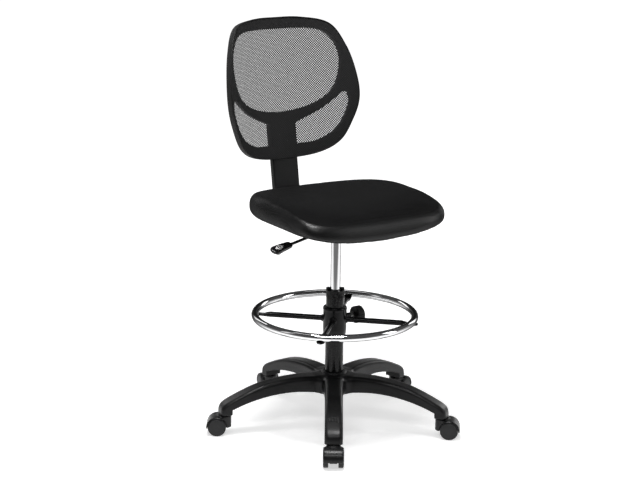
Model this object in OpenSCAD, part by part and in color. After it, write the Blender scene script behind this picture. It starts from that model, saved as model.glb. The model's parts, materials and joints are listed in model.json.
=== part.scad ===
// Drafting chair: mesh back, waterfall seat, gas lift, foot ring and a five-leg base on twin-wheel castors.
// Millimetres. +Z is up, the sitter faces -Y, and the origin is on the floor under the column's axis.

/* [Base] */
// Distance from the column's axis to each castor stem
base_radius = 313; // [290:1:330]
// Width of a leg
leg_width = 50; // [46:1:56]
// Depth of a leg at its crest
leg_depth = 41; // [38:1:44]
// Height of the top of the hub
hub_top = 156; // [152:1:160]
// Radius of the hub's outer wall
hub_radius = 57; // [54:1:60]
// Thickness of the moulded walls
base_wall = 4; // [3:0.5:5]
// Turn of the base under the seat
base_turn = -124; // [-180:1:180]

/* [Castors] */
// Height of the leg sockets above the floor
castor_height = 58.5; // [57.5:0.5:60]
// Radius of a wheel
wheel_radius = 25; // [24:0.5:25.5]
// Width of one wheel
wheel_width = 15; // [13:0.5:16]
// Distance from the swivel axis to the axle
castor_trail = 20; // [18:0.5:22]
// Radius of the axle
axle_radius = 3; // [2.5:0.25:4]
// Radius of the stem
stem_radius = 5.5; // [5:0.25:6]
// Length of the stem inside the leg
stem_grip = 21; // [18:1:24]

/* [Column] */
// Radius of the outer tube
column_radius = 25; // [24:0.5:26]
// Height of the top of the outer tube
column_top = 384; // [370:1:410]
// Radius of the gas tube
gas_radius = 14; // [12:0.5:15]
// Radius of the piston rod
rod_radius = 5; // [4:0.5:6]
// Travel of the gas lift below the shown height
lift_down = 80; // [40:1:90]
// Travel of the gas lift above the shown height
lift_up = 120; // [60:1:130]

/* [Foot ring] */
// Radius of the ring's centre line
ring_radius = 220; // [200:1:235]
// Radius of the ring's tube
ring_tube = 10; // [8:0.5:12]
// Height of the spokes' centre line
spoke_height = 305; // [280:1:320]
// Radius of a spoke
spoke_radius = 7.5; // [6:0.5:9]
// Radius of the sliding hub
slider_radius = 32.5; // [31.5:0.5:36]
// Radius of the clamp knob
knob_radius = 24; // [20:1:27]
// Turn of the foot ring about the column
ring_turn = 1; // [-45:1:45]

/* [Seat] */
// Height of the seat's side ridge
seat_height = 664; // [640:1:690]
// Half the seat's width at the front
seat_front_half = 240; // [225:1:255]
// Half the seat's width at the back
seat_back_half = 230; // [215:1:245]
// Reach of the seat in front of its centre
seat_front = 222; // [210:1:235]
// Reach of the seat behind its centre
seat_back = 217; // [205:1:220]
// Height of the cushion's side
seat_side = 65; // [60:1:75]
// Thickness of the plywood board
board_thick = 12; // [9:1:15]
// Turn of the height lever towards the front
lever_turn = 14; // [5:1:20]
// Reach of the height lever from its pivot
lever_reach = 216; // [190:1:230]

/* [Back] */
// Lean of the backrest
back_lean = 9.4; // [5:0.1:14]
// Curve of the backrest across its width
back_curve = 302; // [280:1:360]
// Distance of the mesh behind the column's axis, where the upright shows
back_setback = 257; // [255:1:275]
// Height of that place above the seat's side ridge
back_above_seat = 36; // [26:1:50]
// Thickness of the back frame
frame_thick = 18; // [10:1:20]
// Width of the upright bar
bar_width = 60; // [50:1:64]
// Thickness of the upright bar
bar_thick = 7; // [5:0.5:8]
// Width of the upright's sleeve
sleeve_width = 83; // [80:1:90]

/* [Hidden] */
$fn = 64;
leg_count = 5;
castor_names = ["housing", "axle", "wheel_left", "wheel_right"];

// Clearances
fit = 0.02;         // fixed pin or tube in its bore, on the radius
running = 0.05;     // turning or sliding fit, on the radius
gap = 0.3;          // between pieces that pass or rest on each other

// Leg: its top is an arch about a cross axis, cut to a rounded nose over the castor socket
leg_angle = 360 / leg_count;
crest_z = hub_top - 6;
crest_r = 90;
arch_r = 484;
arch_z = crest_z - arch_r;
nose_r = 46;
nose_meet = 10;
shoulder = 10;
tip_round = 12;
tip_r = base_radius + 18;
socket_in = base_radius - 17;
nose_x = tip_r - nose_r;
nose_z = arch_top(nose_x + nose_meet) - sqrt(nose_r * nose_r - nose_meet * nose_meet);
under_r = 420;
under_crest = 125;
leg_stock = 60;
rib = 3;
channel_in = hub_radius + base_wall + 1;
channel_out = socket_in - 8;
channel_cells = 4;
hub_bottom = crest_z - leg_depth - 5;

// Castor
wheel_in = 13;
wheel_out = wheel_in + wheel_width;
wheel_shoulder = 3;
wheel_well = wheel_radius + 0.8;
hood_radius = wheel_radius + 4.5;
hood_half = wheel_out - 1;
hood_edge = 4;
hood_from = -8;
hood_to = 125;
neck_radius = 19;
stem_flange = 1.6;
neck_top = castor_height - stem_flange - gap;
castor_turns = [0, 13, 2.5, -16.5, -18];

// Column, from the floor up
column_bottom = 66;
column_wall = 1.6;
column_floor = 3;
taper_top = 148;
taper = 1;
washer_thick = 1.5;
ball_radius = 2;
ball_ring = 9.5;
ball_count = 10;
rod_end = 60;
clip_z = rod_end + 2.2;
clip_thick = 1.2;
rod_hole = rod_radius + 1.5;
lower_washer_z = column_bottom + column_floor;
balls_z = lower_washer_z + washer_thick;
upper_washer_z = balls_z + 2 * ball_radius;
collar_z = upper_washer_z + washer_thick;
collar_thick = 2.5;
bumper_z = collar_z + collar_thick;
bumper_thick = 14;
guide_length = 92;
guide_flange = 4;
lobe_height = 6;
lobe_radius = 7;
lobe_count = 2;

// Lever, valve and gas tube, from the seat plate down
cushion_bottom = seat_height - seat_side;
cover_thick = 3;
board_z = cushion_bottom - 5;
cover_z = board_z - cover_thick;
plate_thick = 2.5;
flange_z = cover_z - plate_thick;
lever_radius = 4;
lever_z = flange_z - 8.5;
valve_radius = 3;
valve_top = lever_z - lever_radius - gap;
gas_top = valve_top - 6;
gas_wall = 1.6;
gas_end = 16;
gas_foot = bumper_z + bumper_thick + lift_down + gap;
gas_bottom = max(gas_foot, column_top - guide_length - lift_up + 12);
piston_thick = 12;
piston_z = gas_bottom + gas_end + lift_up + gap;
socket_radius = gas_radius + 4.5;
socket_length = 28;
socket_top = gas_top - 4;
box_half_x = 38;
box_half_y = 60;
box_depth = 36;
flange_half_x = 75;
flange_front = -110;
flange_back = 125;
lever_pivot = box_half_x;
lever_inner = lever_pivot + 6;
lever_path = [[-lever_inner, 0], [14, 0], [72, -24.5], [lever_reach - 40, -35.5]];
handle_slope = 6;
handle_roll = 25;
handle_grip = 36;

// Foot ring, from its spokes
ring_wall = 1.5;
tongue_thick = 5;
tongue_radius = 11;
tongue_top = spoke_height + 1.2;
ring_z = tongue_top + gap + ring_tube;
shoe_radius = 9;
hub_z = spoke_height - 51;
hub_h = 86.6;
lip = 2.6;
bush_radius = column_radius + running + 3.5;
bush_h = hub_h / 2 - lip - shoe_radius - 8;
knob_in = 66;
knob_thick = 22;
boss_radius = 9.5;
boss_out = 50;
screw_radius = 4;
shoe_thick = 3.5;
shoe_travel = 2;
flutes = 24;
spoke_screw = 2.5;

// Seat outline and surfaces
seat_y = -8;
square_front = 6;
square_back = 2.6;
front_drop = 28;
middle_drop = 10;
lip_drop = 32;
back_drop = 20;
back_rise = 10;
seat_steps = 72;
board_inset = 42;
bolt_x = 60;
bolt_y = 85;
bar_bolt_x = 16;
bar_bolt_y = 98;
bolt_radius = 3;
nut_radius = 4.2;
nut_flange = 9;
nut_length = 9;

// Back
back_height = seat_height + back_above_seat;
sleeve_front = 1;
sleeve_thick = 18.5;
sleeve_wall = 2.5;
sleeve_start = 1;
bracket_low = 10;
bracket_high = 135;
bracket_half = 42;
bracket_back = 26;
bar_mid = sleeve_front + sleeve_thick / 2;
bar_bend = 45;
bar_front = 70;
bar_z = flange_z - bar_thick / 2;
bar_meet = back_setback + bar_mid / cos(back_lean) + tan(back_lean) * (bar_z - back_height);
bend_y = bar_meet - bar_bend * tan((90 - back_lean) / 2);
bend_z = bar_z + bar_bend;
bar_rise = (bar_z - back_height + bar_mid * sin(back_lean)) / cos(back_lean);
sleeve_low = bar_rise + bar_bend * tan((90 - back_lean) / 2) + sleeve_start;
bend_steps = 12;
mesh_thick = 1.2;
back_screw = 2.5;
back_screw_head = 5;
screw_x = 18;
screw_low = 60;
screw_high = 105;
// Points across and up the right half of the back, which the mirrored half repeats
outline_half = [[76, 401], [151, 379], [187, 314], [205, 235], [208, 165], [191, 105], [158, 47], [98, 18]];
window_half = [[112, 368], [158, 340], [178, 278], [157, 197], [98, 156]];
lower_top = [[42, 107], [84, 124], [120, 141], [151, 163], [178, 186]];
lower_bottom = [[190, 181], [192, 152], [174, 106], [148, 73], [100, 51], [42, 48]];
outline_top = 404;
outline_low = 11;
window_top = 373;
window_low = 141;
curve_steps = 4;

// Height of the legs' top at a distance from the column's axis
function arch_top(r) = arch_z + sqrt(arch_r * arch_r - (r - crest_r) * (r - crest_r));

// Signed power, for the seat's rounded outline
function spow(v, p) = sign(v) * pow(abs(v), p);
// One span of a smooth curve through a, b, c and d, from b to c
function span(a, b, c, d, t) =
    0.5 * (2 * b + (c - a) * t + (2 * a - 5 * b + 4 * c - d) * t * t + (3 * b - a - 3 * c + d) * t * t * t);
function loop_curve(p, n = curve_steps) =
    [for (i = [0:len(p) - 1]) for (j = [0:n - 1])
        span(p[(i + len(p) - 1) % len(p)], p[i], p[(i + 1) % len(p)], p[(i + 2) % len(p)], j / n)];
function open_curve(p, n = curve_steps) =
    concat([for (i = [0:len(p) - 2]) for (j = [0:n - 1])
        span(p[max(i - 1, 0)], p[i], p[i + 1], p[min(i + 2, len(p) - 1)], j / n)], [p[len(p) - 1]]);
function both_sides(half, top, low) =
    concat([[0, top]], half, [[0, low]], [for (i = [len(half) - 1:-1:0]) [-half[i][0], half[i][1]]]);

// Seat: outline at an angle, pulled in by inset, and the heights of its rim
function seat_half(y) =
    seat_front_half
    + (seat_back_half - seat_front_half) * (y - seat_y + seat_front) / (seat_front + seat_back);
function seat_power(t) = 2 / (sin(t) < 0 ? square_front : square_back);
function seat_py(t) = seat_y + (sin(t) < 0 ? seat_front : seat_back) * spow(sin(t), seat_power(t));
function seat_px(t) = seat_half(seat_py(t)) * spow(cos(t), seat_power(t));
function seat_point(t, inset) =
    let (x = seat_px(t), y = seat_py(t) - seat_y, k = 1 - inset / norm([x, y])) [x * k, seat_y + y * k];
function to_front(p) = pow(max(0, (seat_y - p[1]) / seat_front), 2);
function to_back(p) = pow(max(0, (p[1] - seat_y) / seat_back), 2);
function to_middle(p) = 1 - pow(p[0] / seat_half(p[1]), 2);
function rim_top(p) =
    seat_height - (front_drop + middle_drop * to_middle(p)) * to_front(p) - back_drop * to_back(p);
function rim_bottom(p) =
    cushion_bottom - lip_drop * to_front(p) * to_middle(p) - back_rise * to_back(p);

// Point of the backrest's own frame, as y and z of the chair
function back_point(y, z) =
    [back_setback + y * cos(back_lean) + z * sin(back_lean),
        back_height - y * sin(back_lean) + z * cos(back_lean)];
function reverse(p) = [for (i = [len(p) - 1:-1:0]) p[i]];

// ---------- helpers ----------
module ring(r_out, r_in, h) {
    difference() {
        cylinder(r = r_out, h = h);
        translate([0, 0, -1]) cylinder(r = r_in, h = h + 2);
    }
}

module along_y(w) {
    rotate([90, 0, 0]) translate([0, 0, -w / 2]) linear_extrude(height = w) children();
}

module at_leg(k) {
    rotate([0, 0, base_turn + k * leg_angle]) children();
}

module at_castor(k) {
    at_leg(k) translate([base_radius, 0, 0]) rotate([0, 0, castor_turns[k]]) children();
}

// ---------- base ----------
module leg_section(rho, inset) {
    half = leg_width / 2 - inset;
    round_r = shoulder - inset;
    translate([rho - leg_stock, -half]) square([leg_stock - round_r, 2 * half]);
    translate([rho - round_r - 1, round_r - half]) square([round_r + 1, 2 * (half - round_r)]);
    for (s = [-1, 1]) translate([rho - round_r, s * (half - round_r)]) circle(r = round_r);
}

module leg_arch(inset) {
    out_angle = asin((tip_r + 5 - crest_r) / arch_r);
    back_angle = asin((crest_r - 20) / arch_r);
    translate([crest_r, 0, arch_z]) rotate([90, 0, 0]) rotate([0, 0, 90 - out_angle])
        rotate_extrude(angle = out_angle + back_angle, $fn = 128) leg_section(arch_r - inset, inset);
}

module leg_side() {
    difference() {
        union() {
            translate([30, castor_height])
                square([nose_x + 1.5 * nose_meet - 30, crest_z + 5 - castor_height]);
            intersection() {
                translate([nose_x, nose_z]) circle(r = nose_r, $fn = 128);
                translate([nose_x, castor_height]) square([nose_r + 1, nose_r + crest_z]);
            }
        }
        intersection() {
            translate([under_crest, crest_z - leg_depth - under_r]) circle(r = under_r, $fn = 256);
            square([socket_in, crest_z]);
        }
    }
}

module leg_plan() {
    half = leg_width / 2;
    translate([0, -half]) square([tip_r - tip_round, leg_width]);
    translate([0, tip_round - half]) square([tip_r + 1, leg_width - 2 * tip_round]);
    for (s = [-1, 1]) translate([tip_r - tip_round, s * (half - tip_round)]) circle(r = tip_round);
}

module leg_outside() {
    intersection() {
        leg_arch(0);
        along_y(2 * leg_width) leg_side();
        linear_extrude(height = 2 * crest_z) leg_plan();
    }
}

module leg_channel() {
    cell = (channel_out - channel_in + rib) / channel_cells;
    intersection() {
        leg_arch(base_wall);
        for (i = [0:channel_cells - 1])
            translate([channel_in + i * cell, -leg_width, 0]) cube([cell - rib, 2 * leg_width, crest_z]);
    }
}

module hub_shape() {
    rotate_extrude() polygon([[0, hub_bottom], [hub_radius - 3, hub_bottom], [hub_radius, hub_bottom + 6],
        [hub_radius, crest_z - 14], [hub_radius - 10, crest_z - 3], [column_radius + 9, hub_top - 1.5],
        [column_radius + 6, hub_top], [0, hub_top]]);
}

module hub_pockets() {
    inner = column_radius + 6;
    outer = hub_radius - base_wall;
    difference() {
        translate([0, 0, hub_bottom - 1]) ring(outer, inner, crest_z - 17 - hub_bottom);
        for (k = [0:2 * leg_count - 1])
            rotate([0, 0, base_turn + k * leg_angle / 2])
                translate([0, -rib / 2, 0]) cube([hub_radius, rib, crest_z]);
    }
}

module star_base() {
    color("#1d1d1f") difference() {
        union() {
            hub_shape();
            for (k = [0:leg_count - 1]) at_leg(k) leg_outside();
        }
        for (k = [0:leg_count - 1]) at_leg(k) {
            leg_channel();
            translate([base_radius, 0, castor_height - 1]) cylinder(r = stem_radius + fit, h = stem_grip + 2);
        }
        hub_pockets();
        translate([0, 0, hub_bottom - 1])
            cylinder(r = column_radius - taper + fit, h = hub_top - hub_bottom + 2);
        translate([0, 0, hub_bottom])
            cylinder(r1 = column_radius - taper + fit, r2 = column_radius + fit, h = taper_top - hub_bottom);
        translate([0, 0, taper_top]) cylinder(r = column_radius + fit, h = hub_top - taper_top + 1);
    }
}

module castor_stems() {
    color("silver") for (k = [0:leg_count - 1]) at_leg(k) translate([base_radius, 0, 0]) {
        translate([0, 0, wheel_radius])
            cylinder(r = stem_radius, h = castor_height + stem_grip - wheel_radius);
        translate([0, 0, castor_height - stem_flange]) cylinder(r = stem_radius + 4, h = stem_flange);
    }
}

// ---------- castors ----------
module hood_section() {
    translate([wheel_radius - 10, -hood_half])
        square([hood_radius - hood_edge - wheel_radius + 10, 2 * hood_half]);
    translate([wheel_radius - 10, hood_edge - hood_half])
        square([hood_radius - wheel_radius + 10, 2 * (hood_half - hood_edge)]);
    for (s = [-1, 1]) translate([hood_radius - hood_edge, s * (hood_half - hood_edge)]) circle(r = hood_edge);
}

module castor_housing(k) {
    color("#202022") at_castor(k) difference() {
        union() {
            translate([0, 0, wheel_radius - 3]) cylinder(r = neck_radius, h = neck_top - wheel_radius - 2);
            translate([0, 0, neck_top - 5]) cylinder(r1 = neck_radius, r2 = neck_radius - 4, h = 5);
            translate([castor_trail, 0, wheel_radius]) rotate([90, 0, 0]) rotate([0, 0, hood_from])
                rotate_extrude(angle = hood_to - hood_from) hood_section();
            intersection() {
                translate([castor_trail, 0, wheel_radius]) rotate([90, 0, 0])
                    cylinder(r = wheel_radius, h = 2 * wheel_in - 5, center = true);
                translate([-wheel_radius, -wheel_radius, wheel_radius - 12]) cube(4 * wheel_radius);
            }
            translate([castor_trail, 0, wheel_radius]) rotate([90, 0, 0])
                cylinder(r = axle_radius + 4, h = 2 * (wheel_in - gap), center = true);
        }
        for (s = [-1, 1]) translate([castor_trail, s * (wheel_in + wheel_width / 2 + 1), wheel_radius])
            rotate([90, 0, 0]) cylinder(r = wheel_well, h = wheel_width + 2 + 2 * gap, center = true);
        translate([castor_trail, 0, wheel_radius]) rotate([90, 0, 0])
            cylinder(r = axle_radius + fit, h = 4 * wheel_in, center = true);
        translate([0, 0, wheel_radius - 1]) cylinder(r = stem_radius + running, h = castor_height);
    }
}

module castor_axle(k) {
    color("silver") at_castor(k) translate([castor_trail, 0, wheel_radius]) rotate([90, 0, 0])
        cylinder(r = axle_radius, h = 2 * (wheel_out - 4), center = true);
}

module wheel_section() {
    bore = axle_radius + running;
    difference() {
        union() {
            translate([0, wheel_in]) square([wheel_radius - 1, wheel_width - wheel_shoulder]);
            translate([0, wheel_in + 1]) square([wheel_radius, wheel_width - wheel_shoulder - 1]);
            translate([0, wheel_in + 1]) square([wheel_radius - wheel_shoulder, wheel_width - 1]);
            translate([wheel_radius - wheel_shoulder, wheel_out - wheel_shoulder]) circle(r = wheel_shoulder);
        }
        translate([0, wheel_in - 1]) square([bore, wheel_width - 2.5]);
        translate([axle_radius + 4, wheel_in - 1])
            square([wheel_radius - axle_radius - 8.5, wheel_width - 3.5]);
        translate([0, wheel_out - 0.7]) square([wheel_radius - wheel_shoulder, 2]);
    }
}

module castor_wheel(k, side) {
    color("#2b2b2d") at_castor(k) translate([castor_trail, 0, wheel_radius])
        mirror([0, side > 0 ? 0 : 1, 0]) rotate([-90, 0, 0]) rotate_extrude() wheel_section();
}

// ---------- column and gas lift ----------
module outer_tube() {
    inner = column_radius - column_wall;
    color("#1a1a1c") rotate_extrude() polygon([[rod_hole, column_bottom],
        [column_radius - taper, column_bottom], [column_radius - taper, hub_bottom],
        [column_radius, taper_top], [column_radius, column_top],
        [inner, column_top], [inner, taper_top], [inner - taper, hub_bottom],
        [inner - taper, column_bottom + column_floor], [rod_hole, column_bottom + column_floor]]);
}

module guide_sleeve() {
    color("#111113") {
        difference() {
            union() {
                translate([0, 0, column_top - guide_length])
                    cylinder(r = column_radius - column_wall - fit, h = guide_length);
                translate([0, 0, column_top]) cylinder(r = column_radius + 0.5, h = guide_flange);
                intersection() {
                    for (k = [0:lobe_count - 1]) rotate([0, 0, base_turn + (k + 0.5) * 360 / lobe_count])
                        translate([column_radius - lobe_radius + 0.5, 0, column_top])
                            cylinder(r = lobe_radius, h = guide_flange + lobe_height);
                    translate([0, 0, column_top])
                        cylinder(r = column_radius + 0.2, h = guide_flange + lobe_height);
                }
            }
            translate([0, 0, column_top - guide_length - 1])
                cylinder(r = gas_radius + running, h = guide_length + guide_flange + lobe_height + 2);
        }
    }
}

module bearing_washers() {
    color("silver") for (z = [lower_washer_z, upper_washer_z])
        translate([0, 0, z]) ring(ball_ring + 4.5, rod_radius + running, washer_thick);
}

module bearing_balls() {
    color("gainsboro") for (k = [0:ball_count - 1]) rotate([0, 0, k * 360 / ball_count])
        translate([ball_ring, 0, balls_z + ball_radius]) sphere(r = ball_radius - fit, $fn = 32);
}

module rubber_bumper() {
    color("black") translate([0, 0, bumper_z]) ring(gas_radius - 1, rod_radius + running, bumper_thick);
}

module retaining_washer() {
    color("silver") translate([0, 0, clip_z + clip_thick])
        ring(rod_hole + 5, rod_radius + running, column_bottom - clip_z - clip_thick - running);
}

module retaining_clip() {
    color("dimgray") translate([0, 0, clip_z]) difference() {
        ring(rod_radius + 3.5, rod_radius - 1, clip_thick);
        translate([rod_radius - 2, -rod_radius * 0.6, -1]) cube([8, rod_radius * 1.2, clip_thick + 2]);
    }
}

module piston_rod() {
    color("silver") difference() {
        union() {
            translate([0, 0, rod_end]) cylinder(r = rod_radius, h = piston_z + piston_thick - rod_end);
            translate([0, 0, collar_z]) cylinder(r = rod_radius + 3, h = collar_thick);
        }
        translate([0, 0, clip_z - fit]) ring(rod_radius + 1, rod_radius - 1 - fit, clip_thick + 2 * fit);
        translate([0, 0, piston_z]) ring(rod_radius + 1, rod_radius - 1, piston_thick + 1);
    }
}

module gas_piston() {
    color("dimgray") translate([0, 0, piston_z])
        ring(gas_radius - gas_wall - running, rod_radius - 1 + fit, piston_thick);
}

module gas_tube() {
    color("lightgray") difference() {
        translate([0, 0, gas_bottom]) cylinder(r = gas_radius, h = gas_top - gas_bottom);
        translate([0, 0, gas_bottom - 1]) cylinder(r = rod_radius + running, h = gas_end + 2);
        translate([0, 0, gas_bottom + gas_end])
            cylinder(r = gas_radius - gas_wall, h = gas_top - gas_bottom - 2 * gas_end);
        translate([0, 0, gas_top - gas_end - 1]) cylinder(r = valve_radius + running, h = gas_end + 2);
    }
}

module valve_pin() {
    color("silver") translate([0, 0, gas_top - gas_end])
        cylinder(r = valve_radius, h = valve_top - gas_top + gas_end);
}

// ---------- foot ring ----------
module at_spokes() {
    for (k = [0:3]) rotate([0, 0, ring_turn + 45 + 90 * k]) children();
}

module foot_ring() {
    color("gainsboro") difference() {
        translate([0, 0, ring_z]) rotate_extrude($fn = 128) translate([ring_radius, 0]) difference() {
            circle(r = ring_tube);
            circle(r = ring_tube - ring_wall);
        }
        at_spokes() translate([ring_radius, 0, ring_z - ring_tube - 1])
            cylinder(r = spoke_screw + fit, h = ring_tube);
    }
}

module foot_ring_spokes() {
    color("#18181a") at_spokes() difference() {
        union() {
            translate([slider_radius - 2, 0, spoke_height]) rotate([0, 90, 0])
                cylinder(r = spoke_radius, h = ring_radius - slider_radius - 34);
            translate([ring_radius - 36, 0, spoke_height]) rotate([0, 90, 0])
                cylinder(r1 = spoke_radius, r2 = tongue_thick / 2, h = 22);
            translate([ring_radius - 26, -tongue_radius, tongue_top - tongue_thick])
                cube([26, 2 * tongue_radius, tongue_thick]);
            translate([ring_radius, 0, tongue_top - tongue_thick])
                cylinder(r = tongue_radius, h = tongue_thick);
        }
        cylinder(r = slider_radius + fit, h = 2 * spoke_height);
        translate([ring_radius, 0, 0]) cylinder(r = spoke_screw + fit, h = ring_z);
    }
}

module spoke_screws() {
    color("dimgray") at_spokes() translate([ring_radius, 0, tongue_top - tongue_thick]) {
        cylinder(r = spoke_screw, h = tongue_thick + gap + 5);
        translate([0, 0, -2.5]) cylinder(r1 = spoke_screw + 1, r2 = spoke_screw + 2.5, h = 2.5);
    }
}

module foot_ring_hub() {
    color("#1c1c1e") difference() {
        union() {
            translate([0, 0, hub_z]) cylinder(r1 = slider_radius - 4, r2 = slider_radius, h = 8);
            translate([0, 0, hub_z + 8]) cylinder(r = slider_radius, h = hub_h - 10);
            translate([0, 0, hub_z + hub_h - 2])
                cylinder(r1 = slider_radius, r2 = slider_radius - 1.5, h = 2);
            rotate([0, 0, ring_turn]) translate([0, 0, spoke_height]) rotate([0, 90, 0])
                cylinder(r = boss_radius, h = boss_out);
        }
        translate([0, 0, hub_z + lip]) cylinder(r = bush_radius + running, h = hub_h - 2 * lip);
        translate([0, 0, hub_z - 1]) cylinder(r = column_radius + gap, h = hub_h + 2);
        rotate([0, 0, ring_turn]) translate([0, 0, spoke_height]) rotate([0, 90, 0]) {
            cylinder(r = screw_radius + running, h = boss_out + 1);
            cylinder(r = shoe_radius + running, h = column_radius + running + shoe_thick + shoe_travel);
        }
    }
}

module hub_bushes() {
    color("#2a2a2c") for (z = [hub_z + lip + gap, hub_z + hub_h - lip - gap - bush_h])
        translate([0, 0, z]) ring(bush_radius, column_radius + running, bush_h);
}

module clamp_shoe() {
    color("darkgoldenrod") rotate([0, 0, ring_turn]) difference() {
        translate([0, 0, spoke_height]) rotate([0, 90, 0])
            cylinder(r = shoe_radius, h = column_radius + running + shoe_thick);
        translate([0, 0, spoke_height - shoe_radius - 1])
            cylinder(r = column_radius + running, h = 2 * shoe_radius + 2);
    }
}

module clamp_screw() {
    start = column_radius + 2 * running + shoe_thick;
    color("silver") rotate([0, 0, ring_turn]) translate([start, 0, spoke_height]) rotate([0, 90, 0])
        cylinder(r = screw_radius, h = knob_in + 14 - start);
}

module clamp_knob() {
    color("#141416") rotate([0, 0, ring_turn]) translate([knob_in, 0, spoke_height]) rotate([0, 90, 0])
        difference() {
            union() {
                translate([0, 0, 2]) cylinder(r = knob_radius, h = knob_thick - 4);
                translate([0, 0, knob_thick - 2]) cylinder(r1 = knob_radius, r2 = knob_radius - 2, h = 2);
                cylinder(r1 = knob_radius - 2, r2 = knob_radius, h = 2);
                translate([0, 0, -5]) cylinder(r = boss_radius, h = 5);
            }
            translate([0, 0, -6]) cylinder(r = screw_radius + fit, h = 20 + fit);
            for (k = [0:flutes - 1]) rotate([0, 0, k * 360 / flutes])
                translate([knob_radius + 0.8, 0, -1]) cylinder(r = 1.8, h = knob_thick + 2, $fn = 16);
        }
}

// ---------- seat mechanism ----------
module plate_holes(r, h) {
    for (x = [-bolt_x, bolt_x], y = [-bolt_y, bolt_y]) translate([x, y, 0]) cylinder(r = r, h = h);
    for (x = [-bar_bolt_x, bar_bolt_x]) translate([x, bar_bolt_y, 0]) cylinder(r = r, h = h);
}

module seat_plate() {
    box_z = flange_z - box_depth;
    color("#1b1b1d") difference() {
        union() {
            translate([-flange_half_x, flange_front, flange_z])
                cube([2 * flange_half_x, flange_back - flange_front, plate_thick]);
            translate([-box_half_x, -box_half_y, box_z]) cube([2 * box_half_x, 2 * box_half_y, box_depth]);
        }
        translate([plate_thick - box_half_x, plate_thick - box_half_y, box_z + plate_thick])
            cube([2 * (box_half_x - plate_thick), 2 * (box_half_y - plate_thick), box_depth - plate_thick]);
        translate([0, 0, box_z - 1]) cylinder(r = socket_radius + fit, h = plate_thick + 2);
        translate([0, 0, flange_z - 1]) plate_holes(bolt_radius + 0.3, plate_thick + 2);
        at_lever() rotate([0, 90, 0]) cylinder(r = 2 * lever_radius + fit, h = 20, center = true);
    }
}

module gas_socket() {
    color("#2a2a2c") translate([0, 0, socket_top - socket_length])
        ring(socket_radius, gas_radius + fit, socket_length);
}

// Lever: local x runs outwards along the lever from its pivot
module at_lever() {
    rotate([0, 0, 180 + lever_turn]) translate([lever_pivot, 0, lever_z]) children();
}

module rod_piece(from, to, extra) {
    d = to - from;
    translate([from[0], 0, from[1]]) rotate([0, atan2(d[0], d[1]), 0])
        cylinder(r = lever_radius + extra, h = norm(d));
}

module lever_bush() {
    color("#2a2a2c") at_lever() rotate([0, 90, 0]) difference() {
        cylinder(r = 2 * lever_radius, h = 8, center = true);
        cylinder(r = lever_radius + 0.5, h = 10, center = true);
    }
}

module lever_rod() {
    color("#141416") at_lever() {
        for (i = [0:len(lever_path) - 2]) rod_piece(lever_path[i], lever_path[i + 1], 0);
        for (i = [1:len(lever_path) - 2])
            translate([lever_path[i][0], 0, lever_path[i][1]]) sphere(r = lever_radius + 0.2);
    }
}

module lever_handle() {
    last = len(lever_path) - 1;
    end = lever_path[last];
    color("#0d0d0f") at_lever() difference() {
        translate([end[0] - handle_grip, 0, end[1] + 4]) rotate([-handle_roll, handle_slope, 0]) {
            hull() {
                translate([11, 0, -6]) cylinder(r = 11, h = 12, $fn = 32);
                translate([62, 0, -6]) cylinder(r = 14, h = 12, $fn = 32);
            }
            translate([50, 0, -14]) cylinder(r1 = 8, r2 = 12, h = 9);
        }
        rod_piece(lever_path[last - 1], end, fit);
    }
}

// ---------- seat ----------
module seat_outline(inset) {
    polygon([for (i = [0:seat_steps - 1]) seat_point(i * 360 / seat_steps, inset)]);
}

module seat_under_cover() {
    color("#151517") translate([0, 0, cover_z]) difference() {
        linear_extrude(height = cover_thick) seat_outline(board_inset);
        translate([0, 0, -1]) plate_holes(bolt_radius + 0.3, cover_thick + 2);
    }
}

module seat_board() {
    color("burlywood") translate([0, 0, board_z]) difference() {
        linear_extrude(height = board_thick) seat_outline(board_inset);
        translate([0, 0, -1]) plate_holes(bolt_radius + 0.3, board_thick + 2);
        translate([0, 0, board_thick - nut_length]) plate_holes(nut_radius + fit, nut_length + 1);
        translate([0, 0, board_thick - 1.2]) plate_holes(nut_flange + fit, 2);
    }
}

module tee_nuts() {
    color("silver") translate([0, 0, board_z + board_thick - nut_length]) difference() {
        union() {
            plate_holes(nut_radius, nut_length);
            translate([0, 0, nut_length - 1.2]) plate_holes(nut_flange, 1.2);
        }
        translate([0, 0, -1]) plate_holes(bolt_radius + fit, nut_length + 2);
    }
}

module bolt(under, top) {
    translate([0, 0, under]) cylinder(r = bolt_radius, h = top - under);
    translate([0, 0, under - 4]) cylinder(r = bolt_radius + 2.5, h = 4, $fn = 6);
}

module plate_bolts() {
    color("dimgray") for (x = [-bolt_x, bolt_x], y = [-bolt_y, bolt_y])
        translate([x, y, 0]) bolt(flange_z, board_z + board_thick - 1);
}

module back_bar_bolts() {
    color("dimgray") for (x = [-bar_bolt_x, bar_bolt_x])
        translate([x, bar_bolt_y, 0]) bolt(flange_z - bar_thick, board_z + board_thick - 1);
}

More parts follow.
